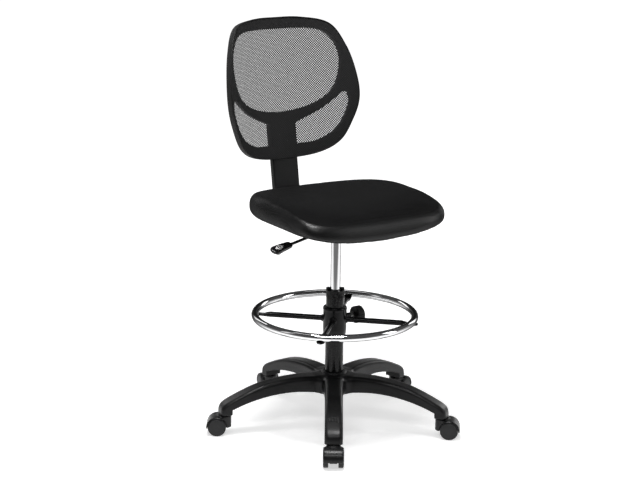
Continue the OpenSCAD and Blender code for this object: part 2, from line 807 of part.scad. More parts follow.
// Cushion: rings of points from the pocket over the board, round the side and over the dished top
module seat_cushion() {
    pocket_z = board_z + board_thick + gap;
    middle_z = seat_height - 14;
    side = [[12, 0], [6, 0.05], [1.5, 0.2], [0, 0.45], [1.5, 0.7], [5, 0.88], [12, 1]];
    top = [0.8, 0.6, 0.4, 0.2];
    angles = [for (i = [0:seat_steps - 1]) i * 360 / seat_steps];
    pocket = [for (t = angles) let (p = seat_point(t, board_inset - gap)) [p[0], p[1], pocket_z]];
    lip_in = [for (p = pocket) [p[0], p[1], rim_bottom(p)]];
    sides = [for (s = side) for (t = angles)
        let (p = seat_point(t, s[0])) [p[0], p[1], rim_bottom(p) + (rim_top(p) - rim_bottom(p)) * s[1]]];
    tops = [for (u = top) for (t = angles)
        let (p = seat_point(t, 12), q = [p[0] * u, seat_y + (p[1] - seat_y) * u])
            [q[0], q[1], middle_z + (rim_top(p) - middle_z) * u * u]];
    points = concat([[0, seat_y, pocket_z]], pocket, lip_in, sides, tops, [[0, seat_y, middle_z]]);
    rings = 2 + len(side) + len(top);
    n = seat_steps;
    last = len(points) - 1;
    faces = concat(
        [for (i = [0:n - 1]) [0, 1 + i, 1 + (i + 1) % n]],
        [for (r = [0:rings - 2]) for (i = [0:n - 1])
            let (a = 1 + r * n + i, b = 1 + r * n + (i + 1) % n) [a, a + n, b]],
        [for (r = [0:rings - 2]) for (i = [0:n - 1])
            let (a = 1 + r * n + i, b = 1 + r * n + (i + 1) % n) [b, a + n, b + n]],
        [for (i = [0:n - 1]) [last - n + i, last, last - n + (i + 1) % n]]);
    color("#151516") polyhedron(points = points, faces = faces);
}

// ---------- back ----------
// Local x runs across, y backwards through the back's thickness, z up along its lean
module at_back() {
    translate([0, back_setback, back_height]) rotate([-back_lean, 0, 0]) children();
}

module back_shell(front, thick) {
    translate([0, -back_curve, 0]) intersection() {
        ring(back_curve + front + thick, back_curve + front, outline_top + 20);
        translate([-back_curve, back_curve / 3, 0]) cube([2 * back_curve, back_curve * 2, outline_top + 20]);
    }
}

module back_outline() {
    polygon(loop_curve(both_sides(outline_half, outline_top, outline_low)));
}

module back_windows() {
    polygon(loop_curve(both_sides(window_half, window_top, window_low)));
    for (s = [0, 1]) mirror([s, 0]) polygon(concat(open_curve(lower_top), open_curve(lower_bottom)));
}

module through_back() {
    translate([0, 100, 0]) rotate([90, 0, 0]) linear_extrude(height = back_curve + 100) children();
}

module back_screw_places() {
    for (x = [-screw_x, screw_x], z = [screw_low, screw_high])
        translate([x, 0, z]) rotate([-90, 0, 0]) children();
}

module back_frame() {
    pocket_half = bar_width / 2 + gap;
    pocket_depth = bar_thick + 2 * gap;
    color("#161618") at_back() difference() {
        union() {
            intersection() {
                back_shell(0, frame_thick);
                through_back() difference() {
                    back_outline();
                    back_windows();
                }
            }
            translate([-bracket_half, frame_thick - 6, bracket_low])
                cube([2 * bracket_half, bracket_back - frame_thick + 6, bracket_high - bracket_low]);
        }
        translate([-pocket_half, bar_mid - pocket_depth / 2, 0])
            cube([2 * pocket_half, pocket_depth, bracket_high - 12]);
        back_screw_places() cylinder(r = back_screw + fit, h = bracket_back + 1);
    }
}

module back_mesh() {
    color("#3a3a3c") at_back() intersection() {
        back_shell(-gap - mesh_thick, mesh_thick);
        through_back() back_outline();
    }
}

// Side of the bar, as y and z: along under the seat, round the bend and up the lean
function bar_side(offset) =
    let (r = bar_bend - offset, up = back_point(bar_mid - offset, bracket_high - 12 - gap))
        concat([[bar_front, bend_z - r]],
            [for (i = [0:bend_steps]) let (a = (90 - back_lean) * i / bend_steps)
                [bend_y + r * sin(a), bend_z - r * cos(a)]],
            [up]);

module back_bar() {
    color("#242426") difference() {
        rotate([90, 0, 90]) translate([0, 0, -bar_width / 2]) linear_extrude(height = bar_width)
            polygon(concat(bar_side(-bar_thick / 2), reverse(bar_side(bar_thick / 2))));
        translate([0, 0, bar_z - bar_thick]) plate_holes(bolt_radius + 0.3, 2 * bar_thick);
        at_back() back_screw_places() cylinder(r = back_screw + fit, h = bracket_back);
    }
}

module back_bar_sleeve() {
    length = bracket_low - sleeve_low;
    slot_w = bar_width + 2 * gap;
    slot_t = bar_thick + 2 * gap;
    color("#2c2c2e") at_back() difference() {
        translate([-sleeve_width / 2, sleeve_front, sleeve_low]) cube([sleeve_width, sleeve_thick, length]);
        for (z = [sleeve_low + rib, sleeve_low + length / 2 + rib / 2])
            translate([sleeve_wall - sleeve_width / 2, sleeve_front + sleeve_wall, z])
                cube([sleeve_width - 2 * sleeve_wall, sleeve_thick - 2 * sleeve_wall,
                    length / 2 - 1.5 * rib]);
        translate([-slot_w / 2, bar_mid - slot_t / 2, sleeve_low - 1]) cube([slot_w, slot_t, length + 2]);
    }
}

module back_screws() {
    color("dimgray") at_back() back_screw_places() {
        translate([0, 0, 4]) cylinder(r = back_screw, h = bracket_back - 4);
        translate([0, 0, bracket_back]) cylinder(r1 = back_screw_head, r2 = back_screw + 1, h = 3);
    }
}

star_base();
castor_stems();
for (k = [1:leg_count]) {
    castor_housing(k - 1);
    castor_axle(k - 1);
    castor_wheel(k - 1, 1);
    castor_wheel(k - 1, -1);
}
outer_tube();
guide_sleeve();
bearing_washers();
bearing_balls();
rubber_bumper();
retaining_washer();
retaining_clip();
piston_rod();
gas_piston();
gas_tube();
valve_pin();
foot_ring();
foot_ring_spokes();
foot_ring_hub();
spoke_screws();
hub_bushes();
clamp_shoe();
clamp_screw();
clamp_knob();
seat_plate();
gas_socket();
lever_bush();
lever_rod();
lever_handle();
seat_under_cover();
seat_board();
seat_cushion();
tee_nuts();
plate_bolts();
back_bar_bolts();
back_bar();
back_bar_sleeve();
back_frame();
back_mesh();
back_screws();
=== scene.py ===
"""Dresses the drafting chair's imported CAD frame. Metres, +Z up, the sitter faces -Y.

The named sizes below are in millimetres unless they say otherwise; build and build_quads turn them
into metres.
"""

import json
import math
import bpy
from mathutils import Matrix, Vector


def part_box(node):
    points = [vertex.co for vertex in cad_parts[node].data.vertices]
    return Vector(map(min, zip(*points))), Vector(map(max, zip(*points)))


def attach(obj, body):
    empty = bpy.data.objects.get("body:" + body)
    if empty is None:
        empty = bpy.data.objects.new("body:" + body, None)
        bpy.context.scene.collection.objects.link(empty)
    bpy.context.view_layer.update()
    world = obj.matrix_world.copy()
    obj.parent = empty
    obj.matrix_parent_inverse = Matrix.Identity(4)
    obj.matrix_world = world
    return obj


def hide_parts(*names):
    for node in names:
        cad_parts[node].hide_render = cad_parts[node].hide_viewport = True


bl_info = {
    "name": "Drafting Chair",
    "version": (1, 0, 0),
    "blender": (4, 5, 0),
    "location": "3D View > Sidebar > Chair",
    "description": "Moulded, padded and plated pieces for a drafting chair",
    "category": "Object",
}

import bpy
import numpy as np
from mathutils import Matrix, Vector

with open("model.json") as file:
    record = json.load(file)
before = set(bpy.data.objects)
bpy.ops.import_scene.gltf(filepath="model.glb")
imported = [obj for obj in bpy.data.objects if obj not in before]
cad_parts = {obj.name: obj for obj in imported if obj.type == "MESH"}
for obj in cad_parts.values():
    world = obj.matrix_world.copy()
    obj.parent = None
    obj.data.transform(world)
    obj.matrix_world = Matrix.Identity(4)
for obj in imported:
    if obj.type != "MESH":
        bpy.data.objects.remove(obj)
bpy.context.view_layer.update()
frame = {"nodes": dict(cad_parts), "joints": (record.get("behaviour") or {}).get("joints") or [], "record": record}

MM = 0.001
TAU = 2 * math.pi
LEGS = 5
JOINTS = {joint["name"]: joint for joint in frame["joints"]}

# Places read from the frame; the stems, axles and boxes are vectors in metres where they aren't divided by MM
FIRST_STEM = Vector(JOINTS["castor_1_swivel"]["pos_m"])
LEG_REACH = math.hypot(FIRST_STEM.x, FIRST_STEM.y) / MM
LEG_TURN = math.atan2(FIRST_STEM.y, FIRST_STEM.x)
HUB_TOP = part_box("star_base")[1].z / MM
LEG_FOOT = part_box("star_base")[0].z / MM
SPOKE_TURN = math.atan2(JOINTS["knob_turn"]["axis"][1], JOINTS["knob_turn"]["axis"][0])
RING_LOW, RING_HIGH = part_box("foot_ring")
RING_Z = (RING_LOW.z + RING_HIGH.z) / 2 / MM
RING_TUBE = (RING_HIGH.z - RING_LOW.z) / 2 / MM
RING_RADIUS = RING_HIGH.x / MM - RING_TUBE
SPOKE_Z = JOINTS["knob_turn"]["pos_m"][2] / MM
LEVER_PIVOT = Vector(JOINTS["lever_lift"]["pos_m"]) / MM
BOARD_LOW, BOARD_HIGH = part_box("seat_board")
CUSHION_LOW, CUSHION_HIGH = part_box("seat_cushion")


# ---------- small tools ----------


def smooth_step(low, high, value):
    """0 below low, 1 above high, and a smooth rise between."""
    t = np.clip((value - low) / (high - low), 0.0, 1.0)
    return t * t * (3 - 2 * t)


def cut(a, b, radius):
    """Field of what lies in both solids, with an outside edge of that radius."""
    u = np.maximum(a + radius, 0)
    v = np.maximum(b + radius, 0)
    return np.minimum(np.maximum(a, b) + radius, 0) - radius + np.hypot(u, v)


def join(a, b, radius):
    """Field of what lies in either solid, with a fillet of that radius."""
    return -cut(-a, -b, radius)


def link_mesh(name, mesh):
    """Links a mesh into the scene as a new object."""
    obj = bpy.data.objects.new(name, mesh)
    bpy.context.scene.collection.objects.link(obj)
    return obj


def soften(mesh, angle=35):
    """Smooth shading with sharp edges above an angle in degrees."""
    mesh.polygons.foreach_set("use_smooth", np.ones(len(mesh.polygons), bool))
    mesh.set_sharp_from_angle(angle=math.radians(angle))


def build(name, points, faces, angle=35):
    """A new object from points in millimetres and lists of corner numbers."""
    mesh = bpy.data.meshes.new(name)
    mesh.from_pydata((np.asarray(points, float) * MM).tolist(), [], [list(map(int, f)) for f in faces])
    mesh.update()
    soften(mesh, angle)
    return link_mesh(name, mesh)


def build_quads(name, points, quads, angle=180):
    """The same for many four-cornered faces, given as arrays."""
    mesh = bpy.data.meshes.new(name)
    mesh.vertices.add(len(points))
    mesh.vertices.foreach_set("co", (np.asarray(points, float) * MM).astype(np.float32).ravel())
    mesh.loops.add(4 * len(quads))
    mesh.loops.foreach_set("vertex_index", np.asarray(quads, np.int32).ravel())
    mesh.polygons.add(len(quads))
    mesh.polygons.foreach_set("loop_start", np.arange(len(quads), dtype=np.int32) * 4)
    mesh.update(calc_edges=True)
    mesh.validate()
    soften(mesh, angle)
    return link_mesh(name, mesh)


def skin(field, low, high, cell):
    """Points and quads of the surface on which a field is zero, inside a box."""
    axes = [np.arange(lo, hi + cell, cell) for lo, hi in zip(low, high)]
    value = np.broadcast_to(field(*np.meshgrid(*axes, indexing="ij", sparse=True)), [len(a) for a in axes])
    inside = value < 0
    nx, ny, nz = (len(a) - 1 for a in axes)
    corners = [(i, j, k) for i in (0, 1) for j in (0, 1) for k in (0, 1)]
    within = sum(inside[i : nx + i, j : ny + j, k : nz + k].astype(np.int8) for i, j, k in corners)
    cells = np.argwhere((within > 0) & (within < len(corners)))
    number = np.full(within.shape, -1, np.int64)
    number[tuple(cells.T)] = np.arange(len(cells))
    at = {c: value[tuple((cells + c).T)].astype(float) for c in corners}
    total, count = np.zeros((len(cells), 3)), np.zeros(len(cells))
    for a in corners:
        for axis in range(3):
            if a[axis] == 0:
                b = tuple(v + (n == axis) for n, v in enumerate(a))
                crossing = (at[a] < 0) != (at[b] < 0)
                share = at[a] / np.where(crossing, at[a] - at[b], 1)
                point = np.array(a) + share[:, None] * (np.arange(3) == axis)
                total += np.where(crossing[:, None], point, 0)
                count += crossing
    points = np.array([a[0] for a in axes]) + (cells + total / count[:, None]) * cell
    quads = []
    for axis in range(3):
        b, c = (axis + 1) % 3, (axis + 2) % 3
        first = np.take(inside, range(inside.shape[axis] - 1), axis)
        second = np.take(inside, range(1, inside.shape[axis]), axis)
        edges = np.argwhere(first != second)
        edges = edges[(edges[:, b] > 0) & (edges[:, c] > 0)]
        edges = edges[(edges[:, b] < inside.shape[b] - 1) & (edges[:, c] < inside.shape[c] - 1)]
        step_b, step_c = np.eye(3, dtype=int)[b], np.eye(3, dtype=int)[c]
        around = (step_b + step_c, step_c, 0 * step_b, step_b)
        ring = np.stack([number[tuple((edges - offset).T)] for offset in around], 1)
        leaving = first[tuple(edges.T)]
        quads.append(np.where(leaving[:, None], ring, ring[:, ::-1]))
    return settle(field, points, cell), np.concatenate(quads)


def settle(field, points, cell):
    """Moves points onto the field's zero along its slope, by no more than one cell."""
    start, step = points.copy(), 0.02 * cell
    for _ in range(3):
        here = field(*points.T)
        rises = [field(*(points + step * e).T) - field(*(points - step * e).T) for e in np.eye(3)]
        slope = np.stack(rises, 1) / (2 * step)
        size = np.maximum((slope**2).sum(1), 0.05)
        points = points - np.clip(here / size, -cell, cell)[:, None] * slope
    return start + np.clip(points - start, -cell, cell)


def in_place(points, across, along, up, origin):
    """Points of a local frame, whose axes and origin are given, in the chair's frame."""
    axes = np.array([across, along, up], float)
    return np.asarray(points) @ axes + np.asarray(origin, float)


def loft(rings, closed=False):
    """Points and faces of a skin over rings of equal length, with flat ends unless closed."""
    rings = np.asarray(rings, float)
    count, size = rings.shape[:2]
    faces = []
    for i in range(count if closed else count - 1):
        for j in range(size):
            a, b = i * size, ((i + 1) % count) * size
            k = (j + 1) % size
            faces.append((a + j, a + k, b + k, b + j))
    if not closed:
        faces.append(tuple(range(size - 1, -1, -1)))
        faces.append(tuple((count - 1) * size + j for j in range(size)))
    return rings.reshape(-1, 3), faces


def turned(profile, steps):
    """Points and faces of a profile of (radius, height) pairs, turned about Z."""
    rings = []
    for radius, height in profile:
        angles = np.arange(steps) * TAU / steps
        r = max(radius, 0.001)
        rings.append(np.stack([r * np.cos(angles), r * np.sin(angles), np.full(steps, height)], 1))
    return loft(rings)


def gather(parts):
    """One list of points and faces from several."""
    points, faces, base = [], [], 0
    for p, f in parts:
        points.append(np.asarray(p, float))
        faces += [tuple(int(i) + base for i in face) for face in f]
        base += len(p)
    return np.concatenate(points), faces


def smooth_loop(corners, steps, closed=True):
    """A smooth curve through corner points."""
    p = np.asarray(corners, float)
    n = len(p)
    out = []
    for i in range(n if closed else n - 1):
        a, b, c, d = (
            p[(i + k) % n] if closed else p[min(max(i + k, 0), n - 1)] for k in (-1, 0, 1, 2)
        )
        for t in np.arange(steps) / steps:
            bend = (2 * a - 5 * b + 4 * c - d) * t**2 + (3 * b - a - 3 * c + d) * t**3
            out.append(0.5 * (2 * b + (c - a) * t + bend))
    if not closed:
        out.append(p[-1])
    return np.array(out)


def flat_distance(corners, x, y):
    """Signed distance to a closed outline, negative inside."""
    x, y = np.broadcast_arrays(x, y)
    best = np.full(x.shape, 1e9)
    odd = np.zeros(x.shape, bool)
    for a, b in zip(corners, np.roll(corners, -1, 0)):
        side = b - a
        px, py = x - a[0], y - a[1]
        t = np.clip((px * side[0] + py * side[1]) / max(side @ side, 1e-9), 0, 1)
        best = np.minimum(best, (px - t * side[0]) ** 2 + (py - t * side[1]) ** 2)
        crosses = (a[1] > y) != (b[1] > y)
        rise = side[1] if abs(side[1]) > 1e-9 else 1e-9
        odd ^= crosses & (px < side[0] * py / rise)
    return np.where(odd, -1, 1) * np.sqrt(best)


def give(obj, material, body, replaces=()):
    """Sets an object's finish and its body, and hides the nodes that it stands for."""
    obj.data.materials.clear()
    obj.data.materials.append(material)
    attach(obj, body)
    if replaces:
        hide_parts(*replaces)
    return obj


# ---------- shader groups and finishes ----------


class Graph:
    """Adds nodes to a node tree and links sockets or numbers to their inputs."""

    def __init__(self, tree):
        self.tree = tree

    def add(self, kind, inputs=None, **settings):
        node = self.tree.nodes.new(kind)
        for key, value in settings.items():
            setattr(node, key, value)
        for key, value in (inputs or {}).items():
            self.feed(node.inputs[key], value)
        return node

    def feed(self, socket, value):
        if isinstance(value, bpy.types.NodeSocket):
            self.tree.links.new(value, socket)
        else:
            socket.default_value = value

    def math(self, operation, a, b=0.0, c=0.0, clamp=False):
        node = self.add("ShaderNodeMath", {0: a, 1: b, 2: c}, operation=operation, use_clamp=clamp)
        return node.outputs[0]

    def spread(self, value, low, high, to_low=0.0, to_high=1.0):
        """The value moved from one range to another, and held at the ends."""
        ends = {"From Min": low, "From Max": high, "To Min": to_low, "To Max": to_high}
        return self.add("ShaderNodeMapRange", {"Value": value, **ends}).outputs[0]

    def place(self):
        return self.add("ShaderNodeTexCoord").outputs["Object"]

    def split(self, vector):
        return self.add("ShaderNodeSeparateXYZ", {"Vector": vector}).outputs

    def facing_up(self):
        return self.split(self.add("ShaderNodeNewGeometry").outputs["Normal"])["Z"]

    def turned_away(self):
        """0 where the surface faces the eye and 1 at its rim; for use in a material, not in a group."""
        return self.add("ShaderNodeLayerWeight", {"Blend": 0.5}).outputs["Facing"]

    def noise(self, place, scale, detail=2.0, roughness=0.5):
        inputs = {"Vector": place, "Scale": scale, "Detail": detail, "Roughness": roughness}
        return self.add("ShaderNodeTexNoise", inputs).outputs["Fac"]

    def shade(self, colour, value):
        """The colour, given as red, green and blue, times a value."""
        node = self.add("ShaderNodeMix", data_type="RGBA", blend_type="MULTIPLY")
        self.feed(node.inputs[0], 1.0)
        self.feed(node.inputs[6], (*tuple(colour)[:3], 1.0))
        self.feed(node.inputs[7], value)
        return node.outputs[2]

    def blend(self, mask, first, second):
        node = self.add("ShaderNodeMix", data_type="RGBA")
        self.feed(node.inputs[0], mask)
        self.feed(node.inputs[6], first)
        self.feed(node.inputs[7], second)
        return node.outputs[2]


def new_group(name, inputs, outputs):
    """A shader node group with float inputs and outputs; returns it with its graph and ends."""
    group = bpy.data.node_groups.new(name, "ShaderNodeTree")
    for label, default in inputs:
        socket = group.interface.new_socket(label, in_out="INPUT", socket_type="NodeSocketFloat")
        socket.default_value = default
    for label in outputs:
        group.interface.new_socket(label, in_out="OUTPUT", socket_type="NodeSocketFloat")
    graph = Graph(group)
    return group, graph, graph.add("NodeGroupInput").outputs, graph.add("NodeGroupOutput").inputs


def group_once(name, maker):
    return bpy.data.node_groups.get(name) or maker(name)


def moulded_grain(name):
    """Spark-eroded grain of moulded plastic, with slow changes of tone and gloss."""
    group, g, given, out = new_group(name, [("Scale", 1200.0)], ["Height", "Tone", "Gloss"])
    place = g.place()
    g.feed(out["Height"], g.noise(place, given["Scale"], 3.0, 0.6))
    g.feed(out["Tone"], g.spread(g.noise(place, 14.0, 2.0), 0.3, 0.7, 0.88, 1.12))
    g.feed(out["Gloss"], g.spread(g.noise(place, 45.0, 3.0), 0.3, 0.7, -0.035, 0.035))
    return group


def edge_wear(name):
    """Mask of the raised edges, broken up as rubbing leaves them."""
    group, g, given, out = new_group(name, [("Amount", 0.5), ("Scale", 160.0)], ["Mask"])
    pointed = g.add("ShaderNodeNewGeometry").outputs["Pointiness"]
    edge = g.spread(pointed, 0.54, 0.62)
    patches = g.spread(g.noise(g.place(), given["Scale"], 4.0, 0.65), 0.42, 0.66)
    g.feed(out["Mask"], g.math("MULTIPLY", g.math("MULTIPLY", edge, patches), given["Amount"], clamp=True))
    return group


def settled_dust(name):
    """Mask of the faces that look up, where a little dust settles."""
    group, g, given, out = new_group(name, [("Amount", 0.3)], ["Mask"])
    up = g.spread(g.facing_up(), 0.72, 1.0)
    specks = g.spread(g.noise(g.place(), 420.0, 5.0, 0.7), 0.45, 0.75)
    g.feed(out["Mask"], g.math("MULTIPLY", g.math("MULTIPLY", up, specks), given["Amount"], clamp=True))
    return group


def knitted_cells(name):
    """Small round cells of a spacer knit: the height of the yarn and its tone, which is painted darker in the
    cells' hollows as painted shade.
    """
    group, g, given, out = new_group(name, [("Pitch", 1.7)], ["Height", "Painted hollow shade", "Fuzz"])
    scale = g.math("DIVIDE", 1000.0, given["Pitch"])
    inputs = {"Vector": g.place(), "Scale": scale, "Randomness": 0.35}
    cells = g.add("ShaderNodeTexVoronoi", inputs, feature="F1").outputs["Distance"]
    g.feed(out["Height"], g.spread(cells, 0.15, 0.55))
    # Painted shade: the tone is darkest in the cells' middles, where the knit dips, and lightest on the yarn.
    g.feed(out["Painted hollow shade"], g.spread(cells, 0.1, 0.6, 0.45, 1.25))
    g.feed(out["Fuzz"], g.noise(g.place(), 2600.0, 2.0, 0.7))
    return group


def drawn_steel(name):
    """Fine turning and drawing marks on bare metal."""
    group, g, given, out = new_group(name, [("Scale", 60.0)], ["Height", "Gloss"])
    stretch = g.add("ShaderNodeMapping", {"Vector": g.place(), "Scale": (1.0, 1.0, 22.0)}).outputs[0]
    lines = g.noise(stretch, given["Scale"], 4.0, 0.7)
    g.feed(out["Height"], lines)
    g.feed(out["Gloss"], g.spread(lines, 0.3, 0.7, -0.05, 0.08))
    return group


def open_net(name):
    """Staggered holes of a stretched net, from its flat place in metres, and the yarn's height."""
    inputs = [("Across", 0.0), ("Up", 0.0), ("Pitch", 4.0), ("Hole", 0.21)]
    group, g, given, out = new_group(name, inputs, ["Yarn", "Height"])
    u = g.math("DIVIDE", g.math("MULTIPLY", given["Across"], 1000.0), given["Pitch"])
    v = g.math("DIVIDE", g.math("MULTIPLY", given["Up"], 1000.0), given["Pitch"])
    near = []
    for shift in (0.0, 0.5):
        du = g.math("SUBTRACT", g.math("FRACT", g.math("ADD", u, 100.0 + shift)), 0.5)
        dv = g.math("SUBTRACT", g.math("FRACT", g.math("ADD", v, 100.0 + shift)), 0.5)
        near.append(g.math("SQRT", g.math("ADD", g.math("MULTIPLY", du, du), g.math("MULTIPLY", dv, dv))))
    distance = g.math("MINIMUM", *near)
    ragged = g.math("ADD", distance, g.spread(g.noise(g.place(), 900.0, 1.0), 0.3, 0.7, -0.012, 0.012))
    edge = g.math("SUBTRACT", ragged, given["Hole"])
    g.feed(out["Yarn"], g.spread(edge, -0.02, 0.02))
    g.feed(out["Height"], g.spread(distance, 0.18, 0.36))
    return group


def use_group(graph, name, maker, inputs=None):
    """Places a shared group in a material and returns its outputs."""
    node = graph.add("ShaderNodeGroup", node_tree=group_once(name, maker))
    for key, value in (inputs or {}).items():
        graph.feed(node.inputs[key], value)
    return node.outputs


def new_material(name, **constants):
    """A material with a Principled shader, its constant sockets set on the shader itself."""
    material = bpy.data.materials.new(name)
    material.use_nodes = True
    graph = Graph(material.node_tree)
    shader = material.node_tree.nodes["Principled BSDF"]
    for key, value in constants.items():
        shader.inputs[key.replace("_", " ")].default_value = value
    return material, graph, shader.inputs


def bump(graph, height, distance, strength=1.0):
    inputs = {"Height": height, "Distance": distance, "Strength": strength}
    return graph.add("ShaderNodeBump", inputs).outputs[0]


def grey(value, tint=(1.0, 1.0, 1.0)):
    return (value * tint[0], value * tint[1], value * tint[2], 1.0)


def moulded_plastic(name, colour, roughness, specular, scale=1200.0, depth=0.00012, dust=0.0):
    """Black moulded plastic: fine grain, slow changes of tone, rubbed edges and a little dust."""
    material, g, shader = new_material(name, Specular_IOR_Level=specular)
    grain = use_group(g, "Moulded grain", moulded_grain, {"Scale": scale})
    worn = use_group(g, "Edge wear", edge_wear, {"Amount": 0.35})["Mask"]
    tone = g.shade(colour, grain["Tone"])
    paint = g.blend(worn, tone, grey(0.055, (1.0, 1.0, 1.02)))
    if dust:
        settled = use_group(g, "Settled dust", settled_dust, {"Amount": dust})["Mask"]
        paint = g.blend(settled, paint, grey(0.16, (1.0, 0.98, 0.95)))
    g.feed(shader["Base Color"], paint)
    rough = g.math("ADD", grain["Gloss"], roughness)
    g.feed(shader["Roughness"], g.math("SUBTRACT", rough, g.math("MULTIPLY", worn, 0.12), clamp=True))
    g.feed(shader["Normal"], bump(g, grain["Height"], depth))
    return material


def powder_coat(name, colour, roughness, specular):
    """Powder coated steel: a low orange peel under a semi gloss, chipped lightly at the edges."""
    material, g, shader = new_material(name, Specular_IOR_Level=specular)
    grain = use_group(g, "Moulded grain", moulded_grain, {"Scale": 420.0})
    worn = use_group(g, "Edge wear", edge_wear, {"Amount": 0.4, "Scale": 240.0})["Mask"]
    g.feed(shader["Base Color"], g.blend(worn, g.shade(colour, grain["Tone"]), grey(0.12)))
    g.feed(shader["Roughness"], g.math("ADD", grain["Gloss"], roughness, clamp=True))
    g.feed(shader["Normal"], bump(g, grain["Height"], 0.00004))
    return material


def chrome_plate(name, colour):
    """Polished chrome with faint wiping marks; its colour is painted darker where it turns away from the eye, a
    painted dark reflection at its rim.
    """
    material, g, shader = new_material(name, Specular_Tint=(0.3, 0.3, 0.3, 1.0))
    place = g.place()
    wiped = g.spread(g.noise(place, 22.0, 4.0, 0.6), 0.45, 0.75, 0.035, 0.085)
    specks = g.spread(g.noise(place, 1500.0, 1.0), 0.70, 0.78, 0.0, 0.12)
    # Painted reflection: the chrome's colour is darkened towards its rim, where it turns away from the eye.
    painted_dark_rim_reflection = g.spread(g.turned_away(), 0.44, 0.72, 1.0, 0.2)
    tone = g.math("MULTIPLY", g.spread(g.noise(place, 6.0), 0.3, 0.7, 0.96, 1.0), painted_dark_rim_reflection)
    g.feed(shader["Base Color"], g.shade(colour, tone))
    g.feed(shader["Metallic"], 1.0)
    g.feed(shader["Roughness"], g.math("ADD", wiped, specks))
    return material


def bare_metal(name, colour, roughness):
    """Zinc plated or turned metal with fine marks and dull patches."""
    material, g, shader = new_material(name)
    marks = use_group(g, "Drawn steel", drawn_steel)
    dull = g.noise(g.place(), 90.0, 3.0)
    g.feed(shader["Base Color"], g.shade(colour, g.spread(dull, 0.3, 0.7, 0.82, 1.05)))
    g.feed(shader["Metallic"], 1.0)
    g.feed(shader["Roughness"], g.math("ADD", marks["Gloss"], roughness))
    g.feed(shader["Normal"], bump(g, marks["Height"], 0.00004))
    return material


def rubber_finish(name):
    """Dull black rubber with a coarse grain."""
    material, g, shader = new_material(name, Specular_IOR_Level=0.3)
    grain = use_group(g, "Moulded grain", moulded_grain, {"Scale": 800.0})
    g.feed(shader["Base Color"], g.shade(grey(0.02), grain["Tone"]))
    g.feed(shader["Roughness"], g.math("ADD", grain["Gloss"], 0.8))
    g.feed(shader["Normal"], bump(g, grain["Height"], 0.0002))
    return material


PLY_PAIR = 3.4 * MM


def plywood_finish(name):
    """Birch ply: grain on the faces and dark plies round the edge."""
    material, g, shader = new_material(name, Specular_IOR_Level=0.3)
    place = g.place()
    stretched = g.add("ShaderNodeMapping", {"Vector": place, "Scale": (3.0, 40.0, 40.0)}).outputs[0]
    figure = g.spread(g.noise(stretched, 2.0, 5.0, 0.6), 0.35, 0.65)
    plies = g.spread(g.math("SINE", g.math("MULTIPLY", g.split(place)["Z"], TAU / PLY_PAIR)), -0.2, 0.2)
    on_edge = g.spread(g.math("ABSOLUTE", g.facing_up()), 0.6, 0.4)
    wood = g.blend(figure, (0.62, 0.45, 0.27, 1.0), (0.44, 0.30, 0.17, 1.0))
    edge = g.blend(plies, (0.60, 0.44, 0.27, 1.0), (0.30, 0.19, 0.10, 1.0))
    g.feed(shader["Base Color"], g.blend(on_edge, wood, edge))
    g.feed(shader["Roughness"], g.spread(figure, 0.0, 1.0, 0.55, 0.72))
    g.feed(shader["Normal"], bump(g, figure, 0.0002))
    return material


def seat_knit(name, colour, pitch):
    """Black spacer knit: round cells, fuzz on the yarn and a satin coat where it faces the eye."""
    material, g, shader = new_material(
        name, Specular_IOR_Level=0.08, Sheen_Weight=0.004, Sheen_Roughness=0.4, Coat_Roughness=0.38
    )
    knit = use_group(g, "Knitted cells", knitted_cells, {"Pitch": pitch})
    worn = g.spread(g.noise(g.place(), 9.0, 3.0), 0.3, 0.7, 0.82, 1.18)
    # The knit's tone carries painted shade in the hollows of its cells.
    shade = g.math("MULTIPLY", knit["Painted hollow shade"], worn)
    g.feed(shader["Base Color"], g.shade(colour, shade))
    turned_away = g.turned_away()
    fuzzy = g.spread(knit["Fuzz"], 0.3, 0.7, 0.29, 0.38)
    g.feed(shader["Roughness"], g.math("ADD", fuzzy, g.spread(turned_away, 0.55, 0.8, 0.0, 0.4)))
    g.feed(shader["Coat Weight"], g.spread(turned_away, 0.26, 0.46, 0.65, 0.0))
    height = g.math("ADD", knit["Height"], g.math("MULTIPLY", knit["Fuzz"], 0.35))
    g.feed(shader["Normal"], bump(g, height, 0.00035, 0.7))
    return material


def net_finish(name, colour, pitch, hole):
    """Black stretched net with staggered holes, closed where it goes round the frame's edge."""
    material, g, shader = new_material(name, Specular_IOR_Level=0.25)
    flat = g.split(g.add("ShaderNodeUVMap", uv_map="Flat").outputs["UV"])
    inputs = {"Across": flat["X"], "Up": flat["Y"], "Pitch": pitch, "Hole": hole}
    net = use_group(g, "Open net", open_net, inputs)
    # Painted shade and highlight: the net's colour is darker where the yarn dips towards the holes and lighter on
    # its crests.
    tone = g.spread(net["Height"], 0.0, 1.0, 0.7, 1.3)
    g.feed(shader["Base Color"], g.shade(colour, tone))
    g.feed(shader["Roughness"], g.spread(g.noise(g.place(), 700.0), 0.3, 0.7, 0.5, 0.7))
    wrapped = g.split(g.add("ShaderNodeUVMap", uv_map="Wrap").outputs["UV"])["X"]
    g.feed(shader["Alpha"], g.math("MAXIMUM", net["Yarn"], g.spread(wrapped, 0.2, 0.5)))
    g.feed(shader["Normal"], bump(g, net["Height"], 0.0003, 0.6))
    return material


def white_print(name):
    """Pad-printed marks, thin and slightly uneven."""
    material, g, shader = new_material(name, Specular_IOR_Level=0.3)
    thin = g.spread(g.noise(g.place(), 900.0, 3.0), 0.35, 0.65, 0.72, 0.92)
    g.feed(shader["Base Color"], g.shade(grey(1.0), thin))
    g.feed(shader["Roughness"], g.spread(g.noise(g.place(), 300.0), 0.3, 0.7, 0.45, 0.6))
    return material


